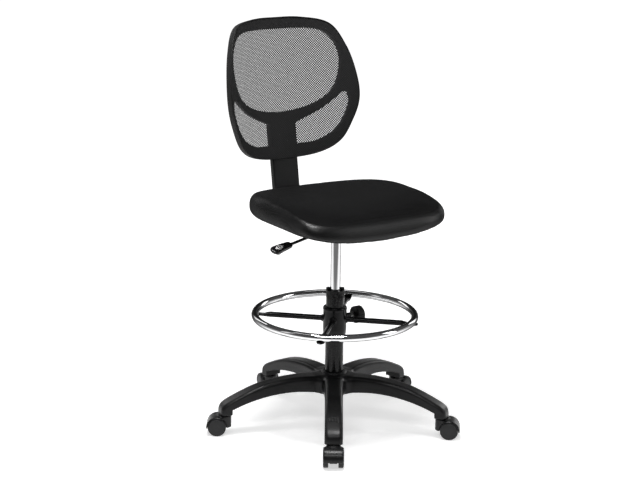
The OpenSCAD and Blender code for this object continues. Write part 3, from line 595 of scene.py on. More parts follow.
def finish_of(slot):
    """The finish of a material slot, made when it is first asked for."""
    name = "Chair " + slot.replace("_", " ")
    found = bpy.data.materials.get(name)
    if found:
        return found
    tone = bpy.context.scene.chair_finish
    makers = {
        "base_nylon": lambda: moulded_plastic(name, tone.base_colour, 0.33, 0.24, dust=0.10),
        "castor_nylon": lambda: moulded_plastic(name, tone.castor_colour, 0.28, 0.3),
        "wheel_nylon": lambda: moulded_plastic(name, tone.wheel_colour, 0.44, 0.25, 900.0, 0.0001),
        "bright_steel": lambda: bare_metal(name, (0.62, 0.62, 0.63), 0.3),
        "black_steel": lambda: powder_coat(name, tone.steel_colour, 0.17, 0.2),
        "chrome": lambda: chrome_plate(name, tone.chrome_colour),
        "moulded_plastic": lambda: moulded_plastic(name, tone.plastic_colour, 0.42, 0.25, 1000.0, 0.00014),
        "gloss_handle": lambda: moulded_plastic(name, (0.008, 0.008, 0.009), 0.16, 0.45, 600.0, 0.00003),
        "brass": lambda: bare_metal(name, (0.72, 0.54, 0.26), 0.32),
        "rubber": lambda: rubber_finish(name),
        "plywood": lambda: plywood_finish(name),
        "seat_fabric": lambda: seat_knit(name, tone.knit_colour, tone.knit_pitch),
        "back_fabric": lambda: net_finish(name, tone.net_colour, tone.net_pitch, tone.net_hole),
        "print": lambda: white_print(name),
    }
    return makers[slot]()


# ---------- sizes and colours that a user may change ----------


class ChairShape(bpy.types.PropertyGroup):
    """Sizes of the modelled pieces."""

    leg_shoulder: bpy.props.FloatProperty(
        name="Leg shoulder", description="Radius along the top edges of the legs",
        default=11 * MM, unit="LENGTH",
    )
    web_fillet: bpy.props.FloatProperty(
        name="Web fillet", description="Radius between neighbouring legs at the hub",
        default=15 * MM, unit="LENGTH",
    )
    hood_crown: bpy.props.FloatProperty(
        name="Hood crown", description="Radius of a castor hood's shoulders", default=6 * MM, unit="LENGTH"
    )
    frame_edge: bpy.props.FloatProperty(
        name="Frame edge", description="Radius of the back frame's outer edge", default=4 * MM, unit="LENGTH"
    )
    cushion_pressure: bpy.props.FloatProperty(
        name="Cushion pressure", description="Pressure that swells the seat pad",
        default=8.0, min=0.0, max=10.0,
    )
    cushion_swell: bpy.props.FloatProperty(
        name="Cushion swell", description="The most that the seat pad may swell",
        default=6 * MM, unit="LENGTH",
    )
    rod_bend: bpy.props.FloatProperty(
        name="Rod bend", description="Length over which the lever rod bends", default=14 * MM, unit="LENGTH"
    )


class ChairFinish(bpy.types.PropertyGroup):
    """Colours and textures of the finishes."""

    base_colour: bpy.props.FloatVectorProperty(
        name="Base", description="Colour of the star base", subtype="COLOR", default=(0.0085, 0.0085, 0.009)
    )
    castor_colour: bpy.props.FloatVectorProperty(
        name="Castor hoods", description="Colour of the castor hoods", subtype="COLOR",
        default=(0.009, 0.009, 0.0095),
    )
    wheel_colour: bpy.props.FloatVectorProperty(
        name="Wheels", description="Colour of the castor wheels", subtype="COLOR",
        default=(0.030, 0.030, 0.031),
    )
    plastic_colour: bpy.props.FloatVectorProperty(
        name="Mouldings", description="Colour of the moulded back, sleeve and bushes", subtype="COLOR",
        default=(0.006, 0.006, 0.0063),
    )
    steel_colour: bpy.props.FloatVectorProperty(
        name="Coated steel", description="Colour of the powder coated steel", subtype="COLOR",
        default=(0.004, 0.004, 0.0043),
    )
    chrome_colour: bpy.props.FloatVectorProperty(
        name="Chrome", description="Colour of the chromed ring and gas tube", subtype="COLOR",
        default=(0.90, 0.90, 0.91),
    )
    knit_colour: bpy.props.FloatVectorProperty(
        name="Seat knit", description="Colour of the seat cover", subtype="COLOR",
        default=(0.004, 0.004, 0.0042),
    )
    knit_pitch: bpy.props.FloatProperty(
        name="Knit pitch", description="Distance between the cells of the seat knit, in millimetres",
        default=1.9,
    )
    net_colour: bpy.props.FloatVectorProperty(
        name="Back net", description="Colour of the back net", subtype="COLOR", default=(0.013, 0.013, 0.0134)
    )
    net_pitch: bpy.props.FloatProperty(
        name="Net pitch", description="Distance between rows of holes in the net, in millimetres", default=6.9
    )
    net_hole: bpy.props.FloatProperty(
        name="Net hole", description="Radius of a hole as a share of the net's pitch", default=0.195
    )


class ChairStage(bpy.types.PropertyGroup):
    """Lamps, floor and camera."""

    focal_length: bpy.props.FloatProperty(
        name="Focal length", description="Camera's focal length on a 36 mm sensor", default=95.8
    )
    lamp_power: bpy.props.FloatProperty(
        name="Lamp power", description="Multiplies the power of every lamp", default=1.0, min=0.0
    )
    sky: bpy.props.FloatProperty(
        name="Studio ceiling", description="Strength of the studio's dim ceiling", default=0.07, min=0.0
    )
    floor_tone: bpy.props.FloatProperty(
        name="Floor tone", description="Grey of the floor where the lamps light it",
        default=0.8, min=0.0, max=0.9,
    )
    floor_glow: bpy.props.FloatProperty(
        name="Floor glow", description="White that the floor adds for the camera around the chair",
        default=0.56,
    )


# ---------- star base ----------

CREST_Z = HUB_TOP - 6
CREST_R = 90
ARCH_R = 484
ARCH_Z = CREST_Z - ARCH_R
NOSE_R = 46
LEG_TIP = LEG_REACH + 18
NOSE_X = LEG_TIP - NOSE_R
NOSE_Z = ARCH_Z + math.sqrt(ARCH_R**2 - (NOSE_X + 10 - CREST_R) ** 2) - math.sqrt(NOSE_R**2 - 100)
SOCKET_IN = LEG_REACH - 17
UNDER_R = 420
UNDER_X = 125
UNDER_Z = CREST_Z - 41 - UNDER_R
HUB_R = 57
HUB_LOW = CREST_Z - 46
LEG_WALL = 4
LEG_HALF = 24.3
LEG_FLARE = 2.6
LEG_SLOPE = math.radians(27)
TIP_CORNER = 13
NOSE_BLEND = 14
RIB_HALF = 1.5
CHANNEL = (62, SOCKET_IN - 8, 4)
COLLAR_R = 33
SOCKET_R = 5.8
SOCKET_TOP = 81
TUBE_SOCKET_R = 25.25


def leg_solid(rho, side, z, shoulder):
    """Field of one leg, from the axis out along rho, before its underside is cut."""
    half = LEG_HALF + LEG_FLARE * np.exp(-(((rho - 60) / 42) ** 2))
    plan = np.maximum(cut(np.abs(side) - half, rho - LEG_TIP, TIP_CORNER), -rho)
    arch = np.hypot(rho - CREST_R, z - ARCH_Z) - ARCH_R
    px, pz = rho - NOSE_X, z - NOSE_Z
    c, s = math.cos(LEG_SLOPE), math.sin(LEG_SLOPE)
    nose = np.where(px * c < pz * s, px * s + pz * c - NOSE_R, np.hypot(px, pz) - NOSE_R)
    return cut(plan, cut(arch, nose, NOSE_BLEND), shoulder)


def base_field(x, y, z):
    """Field of the whole base: legs, hub and collar, hollowed from below between its ribs."""
    shape = bpy.context.scene.chair_shape
    shoulder, fillet = shape.leg_shoulder / MM, shape.web_fillet / MM
    r = np.hypot(x, y)
    turn = np.arctan2(y, x) - LEG_TURN
    near = turn - TAU / LEGS * np.round(turn / (TAU / LEGS))
    other = np.abs(near) - TAU / LEGS
    rho, side = r * np.cos(near), r * np.sin(near)
    beside = leg_solid(r * np.cos(other), r * np.sin(other), z, shoulder)
    legs = join(leg_solid(rho, side, z, shoulder), beside, fillet)
    hub = cut(r - HUB_R, z - (HUB_TOP - 9) + 0.10 * r - 2, 12)
    collar = cut(r - COLLAR_R, z - HUB_TOP, 2)
    top = join(join(legs, hub, fillet), collar, 5)
    arch = np.maximum(np.hypot(rho - UNDER_X, z - UNDER_Z) - UNDER_R, rho - SOCKET_IN)
    under = np.minimum(np.maximum(-arch, LEG_FOOT - z), np.maximum(HUB_LOW - z, r - HUB_R))
    solid = cut(top, under, 1.5)
    start, end, cells = CHANNEL
    cell = (end - start + 2 * RIB_HALF) / cells
    channel = np.maximum(top + LEG_WALL, np.maximum(start - rho, rho - end))
    for k in range(1, cells):
        channel = np.maximum(channel, RIB_HALF - np.abs(rho - (start - RIB_HALF + k * cell)))
    pocket = np.maximum(np.maximum(31 - r, r - HUB_R + LEG_WALL), z - CREST_Z + 17)
    half_turn = turn - TAU / 10 * np.round(turn / (TAU / 10))
    pocket = np.maximum(pocket, RIB_HALF - np.abs(r * np.sin(half_turn)))
    stem = np.maximum(np.hypot(rho - LEG_REACH, side) - SOCKET_R, z - SOCKET_TOP)
    bore = r - TUBE_SOCKET_R
    for hole in (channel, pocket, stem, bore):
        solid = np.maximum(solid, -hole)
    return solid


class CHAIR_OT_star_base(bpy.types.Operator):
    """Moulds the five-leg base with its webs, ribs and sockets"""

    bl_idname = "chair.star_base"
    bl_label = "Star base"

    def execute(self, context):
        reach = LEG_TIP + 4
        points, quads = skin(base_field, (-reach, -reach, LEG_FOOT - 4), (reach, reach, HUB_TOP + 4), 2.0)
        base = build_quads("star_base_moulding", points, quads)
        give(base, finish_of("base_nylon"), "base", ("star_base",))
        return {"FINISHED"}


# ---------- castors ----------

AXLE_Z = JOINTS["castor_1_left_roll"]["pos_m"][2] / MM
FIRST_AXLE = Vector(JOINTS["castor_1_left_roll"]["pos_m"])
TRAIL = math.hypot(FIRST_AXLE.x - FIRST_STEM.x, FIRST_AXLE.y - FIRST_STEM.y) / MM
NECK_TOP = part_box("castor_1_housing")[1].z / MM
HOOD_R = 29.5
HOOD_HALF = 28.2
HOOD_FRONT = math.radians(8)
HOOD_REAR = math.radians(125)
NECK_R = 18.6
WEB_HALF = 10.4
WHEEL_R = 25.0
WHEEL_INNER = 12.7


def housing_field(x, y, z):
    """Twin-wheel castor housing: x runs from the stem to the axle."""
    crown = bpy.context.scene.chair_shape.hood_crown / MM
    px, pz = x - TRAIL, z - AXLE_Z
    rim = np.hypot(px, pz)
    hood = cut(rim - HOOD_R, np.abs(y) - HOOD_HALF, crown)
    hood = cut(hood, -(px * math.sin(HOOD_FRONT) + pz * math.cos(HOOD_FRONT)), 3.5)
    hood = cut(hood, -(px * math.sin(HOOD_REAR) - pz * math.cos(HOOD_REAR)), 3.5)
    neck = np.maximum(cut(np.hypot(x, y) - NECK_R, z - NECK_TOP, 4), AXLE_Z - 3 - z)
    well = np.maximum(rim - WHEEL_R - 0.9, WHEEL_INNER - np.abs(y))
    solid = cut(join(hood, neck, 7), -well, 0.8)
    web = cut(cut(np.abs(y) - WEB_HALF, rim - WHEEL_R + 0.6, 2), AXLE_Z - 7.5 - z, 2)
    hub = np.maximum(rim - 7, np.abs(y) - WHEEL_INNER + 0.1)
    solid = join(join(solid, web, 2), hub, 1.5)
    stem = np.maximum(np.hypot(x, y) - 5.9, AXLE_Z - 1 - z)
    axle = rim - 3.05
    return np.maximum(solid, -np.minimum(stem, axle))


def wheel_profile():
    """Half section of a wheel as (radius, distance from the castor's middle plane)."""
    inside = [(0, 24.2), (3.05, 24.2), (3.05, 13.2), (7.0, 13.0)]
    inside += [(7.0, 24.4), (20.4, 24.4), (20.6, 13.6), (23.4, 13.3)]
    tread = [(24.4, 13.7), (24.9, 14.6), (25.0, 16.0), (25.0, 23.2)]
    shoulder = [(25 - 3.9 * (1 - math.cos(a)), 23.6 + 3.9 * math.sin(a)) for a in np.linspace(0.15, 1.45, 7)]
    face = [(20.9, 27.35), (20.6, 26.8), (19.9, 26.8), (19.6, 27.15), (14.0, 27.5), (7.0, 27.75), (0, 27.85)]
    return inside + tread + shoulder + face


class CHAIR_OT_castors(bpy.types.Operator):
    """Moulds the castor housings and turns their wheels"""

    bl_idname = "chair.castors"
    bl_label = "Castors"

    def execute(self, context):
        low = (-20, -HOOD_HALF - 0.3, AXLE_Z - 15)
        high = (TRAIL + HOOD_R + 2, HOOD_HALF + 0.3, NECK_TOP + 2)
        housing, quads = skin(housing_field, low, high, 1.15)
        rim, faces = turned(wheel_profile(), 72)
        for k in range(1, LEGS + 1):
            stem = Vector(JOINTS[f"castor_{k}_swivel"]["pos_m"]) / MM
            axle = Vector(JOINTS[f"castor_{k}_left_roll"]["pos_m"]) / MM
            along = Vector((axle.x - stem.x, axle.y - stem.y, 0)).normalized()
            across = Vector((-along.y, along.x, 0))
            origin = (stem.x, stem.y, 0)
            placed = in_place(housing, along, across, (0, 0, 1), origin)
            hood = build_quads(f"castor_{k}_hood", placed, quads)
            give(hood, finish_of("castor_nylon"), f"castor_{k}", (f"castor_{k}_housing",))
            for side, sign in (("left", 1), ("right", -1)):
                local = np.stack([rim[:, 0] + TRAIL, sign * rim[:, 2], AXLE_Z - sign * rim[:, 1]], 1)
                placed = in_place(local, along, across, (0, 0, 1), origin)
                wheel = build(f"castor_{k}_{side}_wheel", placed, faces, 40)
                node = f"castor_{k}_wheel_{side}"
                give(wheel, finish_of("wheel_nylon"), f"castor_{k}_{side}", (node,))
        return {"FINISHED"}


# ---------- foot ring ----------

HUB_RING_LOW, HUB_RING_HIGH = (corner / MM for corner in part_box("foot_ring_hub"))
SLIDER_R = 32.5
CLAMP_BOSS = (9.5, 49.8)
SPOKE_BOSS = (9.6, 36.5)
CLAMP_BORE_R = 4.1
BUSH_BORE_R = 28.7
THROAT_R = 25.35
SPOKE_R = 7.5
TAB_HALF = 11
TAB_THICK = 2.5
SPOKE_SIDES = 40
RING_STEPS = 240
RING_SIDES = 36


def boss(r, turn, z, size):
    """Round boss that stands out along turn zero, with its size as (radius, reach)."""
    radius, reach = size
    return cut(np.hypot(r * np.sin(turn), z - SPOKE_Z) - radius, r * np.cos(turn) - reach, 1.2)


def slider_field(x, y, z):
    """The ring's sliding hub, with bosses for the clamp and the spokes."""
    r = np.hypot(x, y)
    middle = (HUB_RING_LOW.z + HUB_RING_HIGH.z) / 2
    half = (HUB_RING_HIGH.z - HUB_RING_LOW.z) / 2
    body = cut(r - SLIDER_R + 0.12 * np.maximum(HUB_RING_LOW.z + 22 - z, 0), np.abs(z - middle) - half, 2.2)
    lip = cut(r - SLIDER_R - 0.9, np.abs(z - HUB_RING_HIGH.z + 5.5) - 2.6, 1.2)
    body = join(body, lip, 1)
    turn = np.arctan2(y, x) - SPOKE_TURN
    clamp = boss(r, turn, z, CLAMP_BOSS)
    clamp = np.maximum(clamp, -r * np.cos(turn))
    body = join(body, clamp, 3)
    near = (turn - TAU / 8) - TAU / 4 * np.round((turn - TAU / 8) / (TAU / 4))
    body = join(body, boss(r, near, z, SPOKE_BOSS), 2.5)
    screw = np.maximum(np.hypot(r * np.sin(turn), z - SPOKE_Z) - CLAMP_BORE_R, -r * np.cos(turn))
    bore = np.maximum(r - BUSH_BORE_R, np.abs(z - middle) - half + 2.6)
    throat = r - THROAT_R
    return np.maximum(body, -np.minimum(np.minimum(screw, bore), throat))


def spoke_rings():
    """Sections of a tube that is pressed flat where it is screwed under the ring."""
    rings = []
    reach = [*np.linspace(SLIDER_R - 1, RING_RADIUS - 40, 6)]
    reach += [*np.linspace(RING_RADIUS - 37, RING_RADIUS - 14, 14), RING_RADIUS - 8, RING_RADIUS - 2]
    reach += [RING_RADIUS + TAB_HALF * math.sin(a) for a in np.linspace(0.15, 1.54, 9)]
    for rho in reach:
        t = float(smooth_step(RING_RADIUS - 38, RING_RADIUS - 16, rho))
        wide = SPOKE_R + (TAB_HALF - SPOKE_R) * t
        if rho > RING_RADIUS:
            wide = math.sqrt(max(TAB_HALF**2 - (rho - RING_RADIUS) ** 2, 0.04))
        thick = SPOKE_R - (SPOKE_R - TAB_THICK) * t
        high = SPOKE_Z - 1.3 * t
        power = 2 / (2 + 3.5 * t)
        angles = np.arange(SPOKE_SIDES) * TAU / SPOKE_SIDES
        c, s = np.cos(angles), np.sin(angles)
        y = wide * np.sign(c) * np.abs(c) ** power
        z = high + thick * np.sign(s) * np.abs(s) ** power
        rings.append(np.stack([np.full(SPOKE_SIDES, rho), y, z], 1))
    return rings


class CHAIR_OT_foot_ring(bpy.types.Operator):
    """Bends the chromed ring, presses its spokes and moulds the sliding hub"""

    bl_idname = "chair.foot_ring"
    bl_label = "Foot ring"

    def execute(self, context):
        rings = []
        b = np.arange(RING_SIDES) * TAU / RING_SIDES
        for a in np.arange(RING_STEPS) * TAU / RING_STEPS:
            r = RING_RADIUS + RING_TUBE * np.cos(b)
            rings.append(np.stack([r * math.cos(a), r * math.sin(a), RING_Z - RING_TUBE * np.sin(b)], 1))
        ring = build("foot_ring_tube", *loft(rings, closed=True), 180)
        give(ring, finish_of("chrome"), "foot_ring", ("foot_ring",))
        spokes = []
        points, faces = loft(spoke_rings())
        for k in range(4):
            a = SPOKE_TURN + TAU / 8 + k * TAU / 4
            along, across = (math.cos(a), math.sin(a), 0), (-math.sin(a), math.cos(a), 0)
            spokes.append((in_place(points, along, across, (0, 0, 1), (0, 0, 0)), faces))
        arms = build("foot_ring_arms", *gather(spokes), 50)
        give(arms, finish_of("black_steel"), "foot_ring", ("foot_ring_spokes",))
        low = (-SLIDER_R - 6, -SLIDER_R - 6, HUB_RING_LOW.z - 2)
        high = (52, SLIDER_R + 6, HUB_RING_HIGH.z + 2)
        points, quads = skin(slider_field, low, high, 1.4)
        hub = build_quads("foot_ring_slider", points, quads, 60)
        give(hub, finish_of("black_steel"), "foot_ring", ("foot_ring_hub",))
        return {"FINISHED"}


# ---------- height lever ----------

LEVER_PATH = [(-44, 0), (14, 0), (72, -24.5), (176, -35.5)]
GRIP_START = (140, -31.5)
GRIP_SLOPE = math.radians(6)
GRIP_ROLL = math.radians(25)
ROD_R = 4
ROD_SIDES = 24
GRIP_START_R = 11
GRIP_LENGTH = 51
GRIP_HALF_THICK = 6
GRIP_SAG = 0.0016
GRIP_MIDDLE = 36
MARK_HALF = 7.2
MARK_HEIGHTS = (5.2, 6.14)


def lever_frame():
    """Axes and origin of the lever: x outwards from its pivot, z up."""
    out = Vector((LEVER_PIVOT.x, LEVER_PIVOT.y, 0)).normalized()
    return out, Vector((-out.y, out.x, 0)), Vector((0, 0, 1)), LEVER_PIVOT


def grip_field(x, y, z):
    """Flat paddle with a finger stop below it."""
    t = np.clip((x - GRIP_START_R) / GRIP_LENGTH, 0, 1)
    outline = np.hypot(x - GRIP_START_R - GRIP_LENGTH * t, y) - GRIP_START_R - 3 * t
    crown = np.abs(z) - GRIP_HALF_THICK + GRIP_SAG * (x - GRIP_MIDDLE) ** 2
    plate = cut(outline, crown, 4)
    stop = cut(np.hypot(x - 50, y) - 12 - 0.40 * (z + 5), -13.6 - z, 2.6)
    stop = np.maximum(stop, z + 2)
    return join(plate, stop, 3)


def arrow_marks():
    """Two small triangles and a bar, as raised print on the grip."""
    marks = [[(x - tip, -MARK_HALF), (x - tip, MARK_HALF), (x + tip, 0)] for x, tip in ((58, 5), (39, -5))]
    marks.append([(46.8, -7.5), (50.2, -7.5), (50.2, 7.5), (46.8, 7.5)])
    points, faces = [], []
    for outline in marks:
        base, n = len(points), len(outline)
        for height in MARK_HEIGHTS:
            points += [(px, py, height - GRIP_SAG * (px - GRIP_MIDDLE) ** 2) for px, py in outline]
        faces.append([base + n + i for i in range(n)])
        faces += [[base + i, base + (i + 1) % n, base + n + (i + 1) % n, base + n + i] for i in range(n)]
    return np.array(points, float), faces


class CHAIR_OT_lever(bpy.types.Operator):
    """Bends the height lever's rod and moulds its grip"""

    bl_idname = "chair.lever"
    bl_label = "Height lever"

    def execute(self, context):
        bend = context.scene.chair_shape.rod_bend / MM
        path = [np.array(LEVER_PATH[0], float)]
        for a, b, c in zip(LEVER_PATH, LEVER_PATH[1:], LEVER_PATH[2:]):
            a, b, c = (np.array(p, float) for p in (a, b, c))
            start = b + (a - b) / np.linalg.norm(a - b) * bend
            end = b + (c - b) / np.linalg.norm(c - b) * bend
            path += [(1 - t) ** 2 * start + 2 * t * (1 - t) * b + t * t * end for t in np.linspace(0, 1, 9)]
        path = np.array(path + [np.array(LEVER_PATH[-1], float)])
        slope = np.gradient(path, axis=0)
        slope /= np.linalg.norm(slope, axis=1)[:, None]
        angles = np.arange(ROD_SIDES) * TAU / ROD_SIDES
        c, s = ROD_R * np.cos(angles), ROD_R * np.sin(angles)
        rings = [np.stack([x - s * sz, c, z + s * sx], 1) for (x, z), (sx, sz) in zip(path, slope)]
        points, faces = loft(rings)
        rod = build("lever_bar", in_place(points, *lever_frame()), faces, 50)
        give(rod, finish_of("black_steel"), "lever", ("lever_rod",))
        out, flat_side, up, origin = lever_frame()
        along = out * math.cos(GRIP_SLOPE) - up * math.sin(GRIP_SLOPE)
        flat_over = out * math.sin(GRIP_SLOPE) + up * math.cos(GRIP_SLOPE)
        side = flat_side * math.cos(GRIP_ROLL) - flat_over * math.sin(GRIP_ROLL)
        over = flat_over * math.cos(GRIP_ROLL) + flat_side * math.sin(GRIP_ROLL)
        foot = origin + out * GRIP_START[0] + up * GRIP_START[1]
        points, quads = skin(grip_field, (-2, -16, -16), (79, 16, 9), 0.9)
        grip = build_quads("lever_grip", in_place(points, along, side, over, foot), quads, 60)
        give(grip, finish_of("gloss_handle"), "lever", ("lever_handle",))
        points, faces = arrow_marks()
        marks = build("lever_arrows", in_place(points, along, side, over, foot), faces)
        give(marks, finish_of("print"), "lever")
        return {"FINISHED"}


# ---------- seat cushion ----------

SEAT_HEIGHT = CUSHION_HIGH.z / MM
SEAT_FRONT = 222
SEAT_Y = CUSHION_LOW.y / MM + SEAT_FRONT
SEAT_BACK = CUSHION_HIGH.y / MM - SEAT_Y
FRONT_HALF = 240
BACK_HALF = 230
SQUARE_FRONT = 6
SQUARE_BACK = 2.6
BOARD_INSET = 42
POCKET_Z = BOARD_HIGH.z / MM + 0.3
LIP_Z = BOARD_LOW.z / MM + 5
MIDDLE_Z = SEAT_HEIGHT - 14
SWELL_FRAMES = 20
EVENING_ROUNDS = 60


def signed_power(value, power):
    return np.sign(value) * np.abs(value) ** power


def seat_half(y):
    return FRONT_HALF + (BACK_HALF - FRONT_HALF) * (y - SEAT_Y + SEAT_FRONT) / (SEAT_FRONT + SEAT_BACK)


def seat_outline(t, inset):
    """Points of the seat's outline at angles t, pulled in by inset, as x and y."""
    power = 2 / np.where(np.sin(t) < 0, SQUARE_FRONT, SQUARE_BACK)
    y = SEAT_Y + np.where(np.sin(t) < 0, SEAT_FRONT, SEAT_BACK) * signed_power(np.sin(t), power)
    x = seat_half(y) * signed_power(np.cos(t), power)
    k = 1 - inset / np.hypot(x, y - SEAT_Y)
    return np.stack([x * k, SEAT_Y + (y - SEAT_Y) * k], 1)


def rim_share(p):
    """0 at the seat's middle and 1 on its outline, for points in millimetres."""
    front = p[:, 1] < SEAT_Y
    power = np.where(front, SQUARE_FRONT, SQUARE_BACK)
    along = np.abs(p[:, 1] - SEAT_Y) / np.where(front, SEAT_FRONT, SEAT_BACK)
    return np.abs(p[:, 0] / seat_half(p[:, 1])) ** power + along**power


def rim_heights(p):
    """Heights of the rim's lower edge and of its ridge at outline points."""
    front = np.maximum(0, (SEAT_Y - p[:, 1]) / SEAT_FRONT) ** 2
    back = np.maximum(0, (p[:, 1] - SEAT_Y) / SEAT_BACK) ** 2
    middle = 1 - (p[:, 0] / seat_half(p[:, 1])) ** 2
    return LIP_Z - 32 * front * middle + 10 * back, SEAT_HEIGHT - (28 + 10 * middle) * front - 20 * back


def seat_pad_rings(count):
    """Rings of the pad before it is swollen: pocket, lip, bulging side, ridge and dished top."""
    t = np.arange(count) * TAU / count
    pocket = seat_outline(t, BOARD_INSET - 0.3)
    rings = [np.column_stack([pocket * share, np.full(count, POCKET_Z)]) for share in (0.02, 1.0)]
    low, high = rim_heights(pocket)
    rings.append(np.column_stack([pocket, np.minimum(low + 4, POCKET_Z - 0.5)]))
    side = [(30, 0.02), (18, 0.0), (11, 0.02), (6, 0.09), (3.5, 0.2), (2.5, 0.36)]
    side += [(2.5, 0.52), (4, 0.68), (7, 0.82), (12, 0.93), (18, 0.985)]
    for inset, share in side:
        p = seat_outline(t, inset)
        low, high = rim_heights(p)
        rings.append(np.column_stack([p, low + 2 + (high - low - 4) * share]))
    rim = seat_outline(t, 24)
    high = rim_heights(seat_outline(t, 12))[1] - 2
    for u in (1.0, 0.93, 0.85, 0.75, 0.62, 0.48, 0.34, 0.2, 0.06, 0.01):
        p = np.array([0, SEAT_Y]) + (rim - [0, SEAT_Y]) * u
        rings.append(np.column_stack([p, MIDDLE_Z - 2 + (high - MIDDLE_Z + 2) * u**2.2]))
    return rings


def applied(obj):
    """Replaces an object's mesh with what its modifiers make of it."""
    graph = bpy.context.evaluated_depsgraph_get()
    mesh = bpy.data.meshes.new_from_object(obj.evaluated_get(graph))
    obj.modifiers.clear()
    old, obj.data = obj.data, mesh
    bpy.data.meshes.remove(old)


def coordinates(mesh):
    points = np.empty(3 * len(mesh.vertices))
    mesh.vertices.foreach_get("co", points)
    return points.reshape(-1, 3)


def place_points(mesh, points):
    mesh.vertices.foreach_set("co", np.asarray(points, np.float32).ravel())
    mesh.update()


def swell(obj, pressure, limit, held):
    """Blows a closed mesh up as cloth, evens out its folds and limits how far its points go."""
    scene = bpy.context.scene
    start = coordinates(obj.data)
    group = obj.vertex_groups.new(name="held")
    group.add(np.flatnonzero(held(start)).tolist(), 1.0, "REPLACE")
    cloth = obj.modifiers.new("swell", "CLOTH")
    cloth.settings.quality = 5
    cloth.settings.mass = 0.3
    cloth.settings.tension_stiffness = 18
    cloth.settings.compression_stiffness = 18
    cloth.settings.bending_stiffness = 2.0
    cloth.settings.use_pressure = True
    cloth.settings.uniform_pressure_force = pressure
    cloth.settings.vertex_group_mass = "held"
    cloth.settings.pin_stiffness = 1.0
    cloth.settings.effector_weights.gravity = 0
    cloth.collision_settings.use_collision = False
    scene.frame_start, scene.frame_end = 1, SWELL_FRAMES
    cloth.point_cache.frame_start, cloth.point_cache.frame_end = 1, SWELL_FRAMES
    for step in range(1, SWELL_FRAMES + 1):
        scene.frame_set(step)
    graph = bpy.context.evaluated_depsgraph_get()
    end = coordinates(obj.evaluated_get(graph).data)
    obj.modifiers.clear()
    scene.frame_set(1)
    move = end - start
    edges = np.empty(2 * len(obj.data.edges), np.int64)
    obj.data.edges.foreach_get("vertices", edges)
    edges = np.concatenate([edges.reshape(-1, 2), edges.reshape(-1, 2)[:, ::-1]])
    beside = np.bincount(edges[:, 0], minlength=len(move))[:, None]
    for _ in range(EVENING_ROUNDS):
        around = np.stack([np.bincount(edges[:, 0], move[edges[:, 1], k], len(move)) for k in range(3)], 1)
        move = 0.4 * move + 0.6 * around / beside
    far = np.linalg.norm(move, axis=1)
    move *= (limit * np.tanh(far / limit) / np.maximum(far, 1e-9))[:, None]
    obj.vertex_groups.clear()
    place_points(obj.data, start + move)


def pull_in(points, low, high, depth, width):
    """Moves points towards the seat's middle along a soft line between two places."""
    low, high = np.array(low) * MM, np.array(high) * MM
    along = high - low
    t = np.clip((points - low) @ along / (along @ along), 0, 1)
    gap = np.linalg.norm(points - low - t[:, None] * along, axis=1) / (width * MM)
    inwards = np.array([0, SEAT_Y, LIP_Z]) * MM - points
    inwards /= np.linalg.norm(inwards, axis=1)[:, None]
    ends = np.sin(np.pi * np.clip(t, 0.04, 0.96))
    return points + inwards * (depth * MM * np.exp(-(gap**2)) * ends)[:, None]


class CHAIR_OT_cushion(bpy.types.Operator):
    """Fills the seat pad, swells it as cloth and gathers its front corners"""

    bl_idname = "chair.cushion"
    bl_label = "Seat cushion"

    def execute(self, context):
        shape = context.scene.chair_shape
        points, faces = loft(seat_pad_rings(180))
        pad = build("seat_pad", points, faces, 180)
        remesh = pad.modifiers.new("even", "REMESH")
        remesh.mode, remesh.voxel_size, remesh.use_smooth_shade = "VOXEL", 5 * MM, True
        applied(pad)
        board = (BOARD_LOW.x, BOARD_LOW.y)

        def moulded(p):
            inside = (np.abs(p[:, 0]) < -board[0] + 0.012) & (np.abs(p[:, 1]) < -board[1] + 0.012)
            return (inside & (p[:, 2] < (POCKET_Z + 4) * MM)) | (rim_share(p / MM) > 0.9)

        swell(pad, shape.cushion_pressure, shape.cushion_swell, moulded)
        finer = pad.modifiers.new("finer", "SUBSURF")
        finer.levels = finer.render_levels = 1
        applied(pad)
        points = coordinates(pad.data)
        for side in (-1, 1):
            corner = [side * (FRONT_HALF - 22), SEAT_Y - SEAT_FRONT + 24]
            ridge_end = (side * 196, -176, SEAT_HEIGHT - 14)
            points = pull_in(points, (*corner, SEAT_HEIGHT - 26), ridge_end, 2.6, 9)
            points = pull_in(points, (side * 232, -205, LIP_Z + 8), (*corner, SEAT_HEIGHT - 30), 1.6, 8)
        place_points(pad.data, points)
        soften(pad.data, 180)
        give(pad, finish_of("seat_fabric"), "seat", ("seat_cushion",))
        return {"FINISHED"}


# ---------- back ----------

BACK_LEAN = math.radians(9.4)
BACK_CURVE = 302
BACK_Y = 257
BACK_Z = SEAT_HEIGHT + 36
FRAME_THICK = 18
OUTLINE = [(76, 401), (151, 379), (187, 314), (205, 235), (208, 165), (191, 105), (158, 47), (98, 18)]
WINDOW = [(112, 368), (158, 340), (178, 278), (157, 197), (98, 156)]
LOWER_TOP = [(42, 107), (84, 124), (120, 141), (151, 163), (178, 186)]
LOWER_BOTTOM = [(190, 181), (192, 152), (174, 106), (148, 73), (100, 51), (42, 48)]
SLEEVE_LOW = -75.7
SLEEVE_HIGH = 10
SLEEVE_HALF = 41.5
SLEEVE_HALF_THICK = 9.25
BAR_MID = 10.25
BAR_SLOT = (30.3, 3.8)
BRACKET_HALF = 42
BRACKET_BACK = 26
BRACKET_MID = 72.5
BRACKET_RISE = 62.5
NET_DEPTH = -0.9
BEAD_R = 1.5
BEAD_AHEAD = 1.2
# Places of the net's edge rows, as (outwards from the rim, behind the front face)
NET_WRAP = [(-1.2, -0.9), (0.3, -0.3), (1.1, 1.6), (1.3, 5), (1.3, 9), (1.3, 13)]
NET_WRAP += [(0.9, 17), (-0.4, 18.9), (-4, 19.1), (-9, 19.1)]


